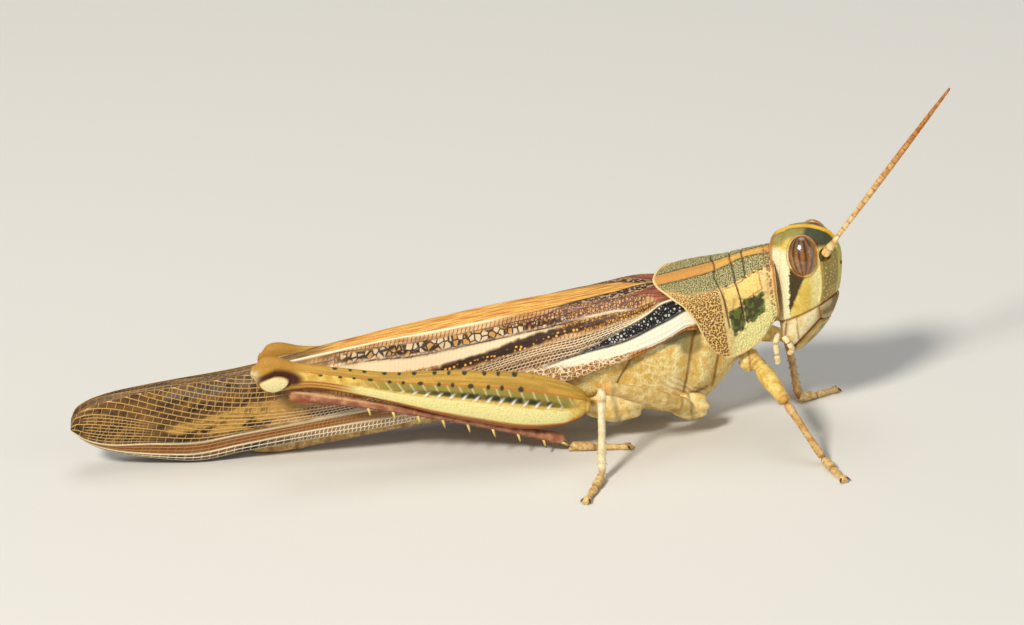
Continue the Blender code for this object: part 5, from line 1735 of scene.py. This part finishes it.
def fore_wing_finish():
    """Leathery fore wing: coloured fields between long veins, each field with its own net."""
    made, tree, shader = blank("Fore wing membrane")
    row, height, run, down, smoke, dorsal, rings = (
        number(tree, name) for name in ("row", "row_height", "run", "down", "smoke", "dorsal", "rings")
    )
    spot = add(tree, "CombineXYZ", {"X": run, "Y": down}).outputs[0]
    long_vein, rung, _ = vein_net(tree, row, height, run, 0.42, 0.5)
    _, wide_rung, _ = vein_net(tree, row, height, run, 0.85, 0.3)
    triple = times(tree, row, 3.0)
    third = maths(tree, "DIVIDE", height, 3.0)
    extra_vein, extra_rung, extra_chance = vein_net(tree, triple, third, run, 0.8, 0.3)
    round_net, round_chance = round_cells(tree, spot, 0.62, 0.1)
    small_net, _ = round_cells(tree, spot, 0.3, 0.1)
    middle_net, _ = round_cells(tree, spot, 0.55, 0.06)

    ground = laid(tree, patches(tree, spot, (0.3, 1.6, 1), 0.4, 0.6), tone("#B07A46"), tone("#E0B478"))
    maroon = laid(tree, patches(tree, spot, (0.15, 2.2, 1), 0.42, 0.56), tone("#4A1B18"), tone("#9E6A40"))
    ground = laid(tree, number(tree, "lines"), ground, maroon)
    ochre = laid(tree, patches(tree, spot, (0.35, 3.0, 1), 0.40, 0.58), tone("#F0BC5C"), tone("#B4702A"))
    ground = laid(tree, dorsal, ground, ochre)
    ground = painted(tree, ground, (
        ("blood", "#6E2014", 0.95), ("tan_net", "#CC9664", 0.95), ("shoulder_line", "#241815", 0.95),
        ("pale_band", "#F4DFB8", 0.95), ("amber_net", "#D8A040", 0.9),
        ("rings", "#DEC6A0", 0.9), ("hem", "#C67F2C", 0.9), ("strip", "#6A3A14", 0.9),
        ("ladder", "#8A6C42", 0.9),
    ))
    orange_cells = ramp(tree, round_chance, 0.5, 0.55)
    ground = laid(tree, times(tree, orange_cells, rings), ground, tone("#C8924A"))

    haze = laid(tree, patches(tree, spot, (0.22, 0.9, 1), 0.38, 0.62), tone("#33200E"), tone("#7A5526"))
    # tan_highlight is a painted highlight and sheen a painted sheen on the smoky tip.
    haze = painted(tree, haze, (("tan_highlight", "#D2A24A", 0.6), ("sheen", "#6C6A66", 0.45)))
    blotch = patches(tree, spot, (0.32, 0.8, 1), 0.56, 0.64)
    haze = laid(tree, blotch, haze, tone("#2A180A"))
    dark_cell = ramp(tree, extra_chance, 0.7, 0.9, 0.0, 0.55)
    haze = laid(tree, dark_cell, haze, tone("#3A2410"))
    off_strip = ramp(tree, number(tree, "strip"), 0.0, 1.0, 1.0, 0.0)
    ground = laid(tree, times(tree, smoke, off_strip), ground, haze)
    ground = painted(tree, ground, (
        ("rear_net", "#CF9C58", 0.6), ("black_net", "#D2D0C6", 1), ("cream", "#FBF3DC", 1),
        ("dark_patch", "#23110C", 0.96),
    ))

    roomy = ramp(tree, height, 0.12, 0.32)
    ladder_net = either(tree, thin(tree, long_vein, 0.06), times(tree, thin(tree, rung, 0.07), 0.8))
    fan = times(tree, number(tree, "wide_rows"),
                either(tree, thin(tree, extra_vein, 0.06), times(tree, thin(tree, extra_rung, 0.05), 0.7)))
    tip_net = either(tree, fan, times(tree, thin(tree, long_vein, 0.07), roomy),
                     times(tree, thin(tree, wide_rung, 0.05), 0.7))
    plain = laid(tree, smoke, ladder_net, tip_net)
    covered = (number(tree, name) for name in ("cream", "dark_patch", "black_net", "pale_band"))
    kept = ramp(tree, either(tree, dorsal, rings, *covered), 0.0, 1.0, 0.9, 0.1)
    net = times(tree, plain, kept)
    vein_tone = painted(tree, tone("#5A2E18"), (
        ("lines", "#F3E2B8", 1), ("smoke", "#CFA45C", 1), ("strip", "#B9823C", 1), ("ladder", "#FFF6DC", 1),
    ))
    ground = laid(tree, net, ground, vein_tone)
    ground = laid(tree, times(tree, round_net, rings, 0.95), ground, tone("#1E120E"))
    ground = laid(tree, times(tree, small_net, number(tree, "black_net")), ground, tone("#0E0B0C"))
    pale_net = times(tree, middle_net, number(tree, "rear_net"), 0.9)
    ground = laid(tree, pale_net, ground, tone("#FFF3D2"))
    fine_net, fine_chance = round_cells(tree, spot, 0.26, 0.042)
    netted = either(tree, number(tree, "tan_net"), number(tree, "amber_net"))
    blood_net = times(tree, fine_net, netted, 0.88)
    ground = laid(tree, blood_net, ground, tone("#4A2014"))
    glints = ramp(tree, fine_chance, 0.62, 0.7)
    ground = laid(tree, times(tree, glints, number(tree, "shoulder_line"), 0.6), ground, tone("#E9C79A"))
    streaks = patches(tree, spot, (0.25, 5.0, 1), 0.46, 0.56)
    ground = laid(tree, times(tree, streaks, number(tree, "blood"), 0.5), ground, tone("#D07C5C"))
    beads = add(tree, "TexVoronoi", {"Vector": spot, "Scale": 1 / 0.42, "Randomness": 0.55})
    beads = ramp(tree, beads.outputs["Distance"], 0.36, 0.26)
    ground = laid(tree, times(tree, beads, number(tree, "dots")), ground, tone("#EFB04C"))
    ground = painted(tree, ground, (("ink", "#15100F", 0.95), ("pearl", "#FBEFC8", 0.95)))
    surface(tree, shader, ground, either(tree, net, blood_net, pale_net, fan), 0.025, 0.4)
    return made


def hind_wing_finish():
    return cuticle("Hind wing membrane", "#5A3E28", "#8A6844", "#3A2618", (("pleat", "#A88458", 0.5),),
                   0.4, 1.5, 0.4)


# Stage.
def make_floor():
    """A pale matt floor under the feet; it belongs to the stage, not to the part."""
    bm = bmesh.new()
    bmesh.ops.create_grid(bm, x_segments=1, y_segments=1, size=1.5)
    mesh = mesh_of(bm, "floor")
    made, _, shader = blank("Floor")
    shader.inputs["Base Color"].default_value = tone("#D9D6CF")
    shader.inputs["Roughness"].default_value = 0.6
    mesh.materials.append(made)
    floor = bpy.data.objects.new("floor", mesh)
    bpy.context.scene.collection.objects.link(floor)


def make_light(name, spot, target, size, power, colour):
    """A round lamp at spot, turned to the target."""
    data = bpy.data.lights.new(name, "AREA")
    data.shape = "DISK"
    data.size = size
    data.energy = power
    data.color = colour
    lamp = bpy.data.objects.new(name, data)
    lamp.location = spot
    lamp.rotation_euler = (Vector(target) - Vector(spot)).to_track_quat("-Z", "Y").to_euler()
    bpy.context.scene.collection.objects.link(lamp)


def make_world():
    """A dim cool sky, which fills the shadows."""
    world = bpy.data.worlds.new("Studio")
    world.use_nodes = True
    back = world.node_tree.nodes["Background"]
    back.inputs["Color"].default_value = (0.90, 0.95, 1.0, 1.0)
    back.inputs["Strength"].default_value = 0.24
    bpy.context.scene.world = world
    bpy.context.scene.view_settings.view_transform = "Standard"


CAMERA_RISE = math.radians(25)
CAMERA_ROLL = math.radians(4.5)
CAMERA_DISTANCE = 0.4
LOOK_AT = Vector((0.00065, 0.0, 0.0133))


def make_camera():
    """The camera stands off the animal's right side, above it and a little rolled."""
    back = Vector((0.0, -math.cos(CAMERA_RISE), math.sin(CAMERA_RISE)))
    side, high = Vector((1.0, 0.0, 0.0)), Vector((0.0, math.sin(CAMERA_RISE), math.cos(CAMERA_RISE)))
    right = side * math.cos(CAMERA_ROLL) - high * math.sin(CAMERA_ROLL)
    up = high * math.cos(CAMERA_ROLL) + side * math.sin(CAMERA_ROLL)
    data = bpy.data.cameras.new("camera")
    data.sensor_width = 36.0
    data.lens = 140.625
    data.clip_start = 0.01
    data.clip_end = 10.0
    camera = bpy.data.objects.new("camera", data)
    camera.matrix_world = Matrix.Translation(LOOK_AT + back * CAMERA_DISTANCE) @ Matrix(
        (right, up, back)
    ).transposed().to_4x4()
    bpy.context.scene.collection.objects.link(camera)
    bpy.context.scene.camera = camera


def make_animal():
    """Every piece of the animal, each with its finish."""
    thorax = thorax_finish()
    make_abdomen(abdomen_finish())
    make_thorax(thorax)
    make_prothorax(thorax)
    make_pronotum(pronotum_finish())
    make_head(head_finish(), mouth_finish())
    make_eyes(eye_finish(), ocellus_finish())
    antenna, palp = antenna_finish(), palp_finish()
    wing, hind_wing = fore_wing_finish(), hind_wing_finish()
    thigh, shin, spines = thigh_finish(), shin_finish(), spine_finish()
    foot, claws = foot_finish(), claw_finish()
    legs = {
        "front": {
            "femur": walking_finish("Front thigh cuticle", "#D3A548", "#EDD27C", "#C98A3A", "#8A5A28"),
            "tibia": walking_finish("Front shin cuticle", "#C08A48", "#DDB878", "#8A5424", "#F2E2B8"),
        },
        "mid": {
            "femur": walking_finish("Middle thigh cuticle", "#CDA658", "#EBD08C", "#D99A40", "#6A4820"),
            "tibia": walking_finish("Middle shin cuticle", "#E4D09A", "#F6EBC4", "#C9823A", "#B87030"),
        },
    }
    for side_name in SIDES:
        make_antenna(side_name, antenna)
        make_palps(side_name, palp)
        make_fore_wing(side_name, wing)
        make_hind_wing(side_name, hind_wing)
        make_hind_thigh(side_name, thigh)
        make_hind_shin(side_name, shin, spines)
        make_walking_leg("front", side_name, legs["front"], spines)
        make_walking_leg("mid", side_name, legs["mid"], spines)
        for kind in ("front", "mid", "hind"):
            make_coxa(kind, side_name, thorax)
            make_foot(kind, side_name, foot, claws)


make_animal()
make_floor()
make_light("key", (-0.35, -0.45, 0.60), (0, 0, 0.01), 0.17, 6.8, (1.0, 0.95, 0.86))
make_light("fill", (0.55, -0.35, 0.25), (0, 0, 0.01), 0.5, 0.9, (0.88, 0.94, 1.0))
make_light("top", (0.0, 0.25, 0.7), (0, 0, 0.01), 0.5, 1.4, (1.0, 1.0, 1.0))
make_world()
make_camera()
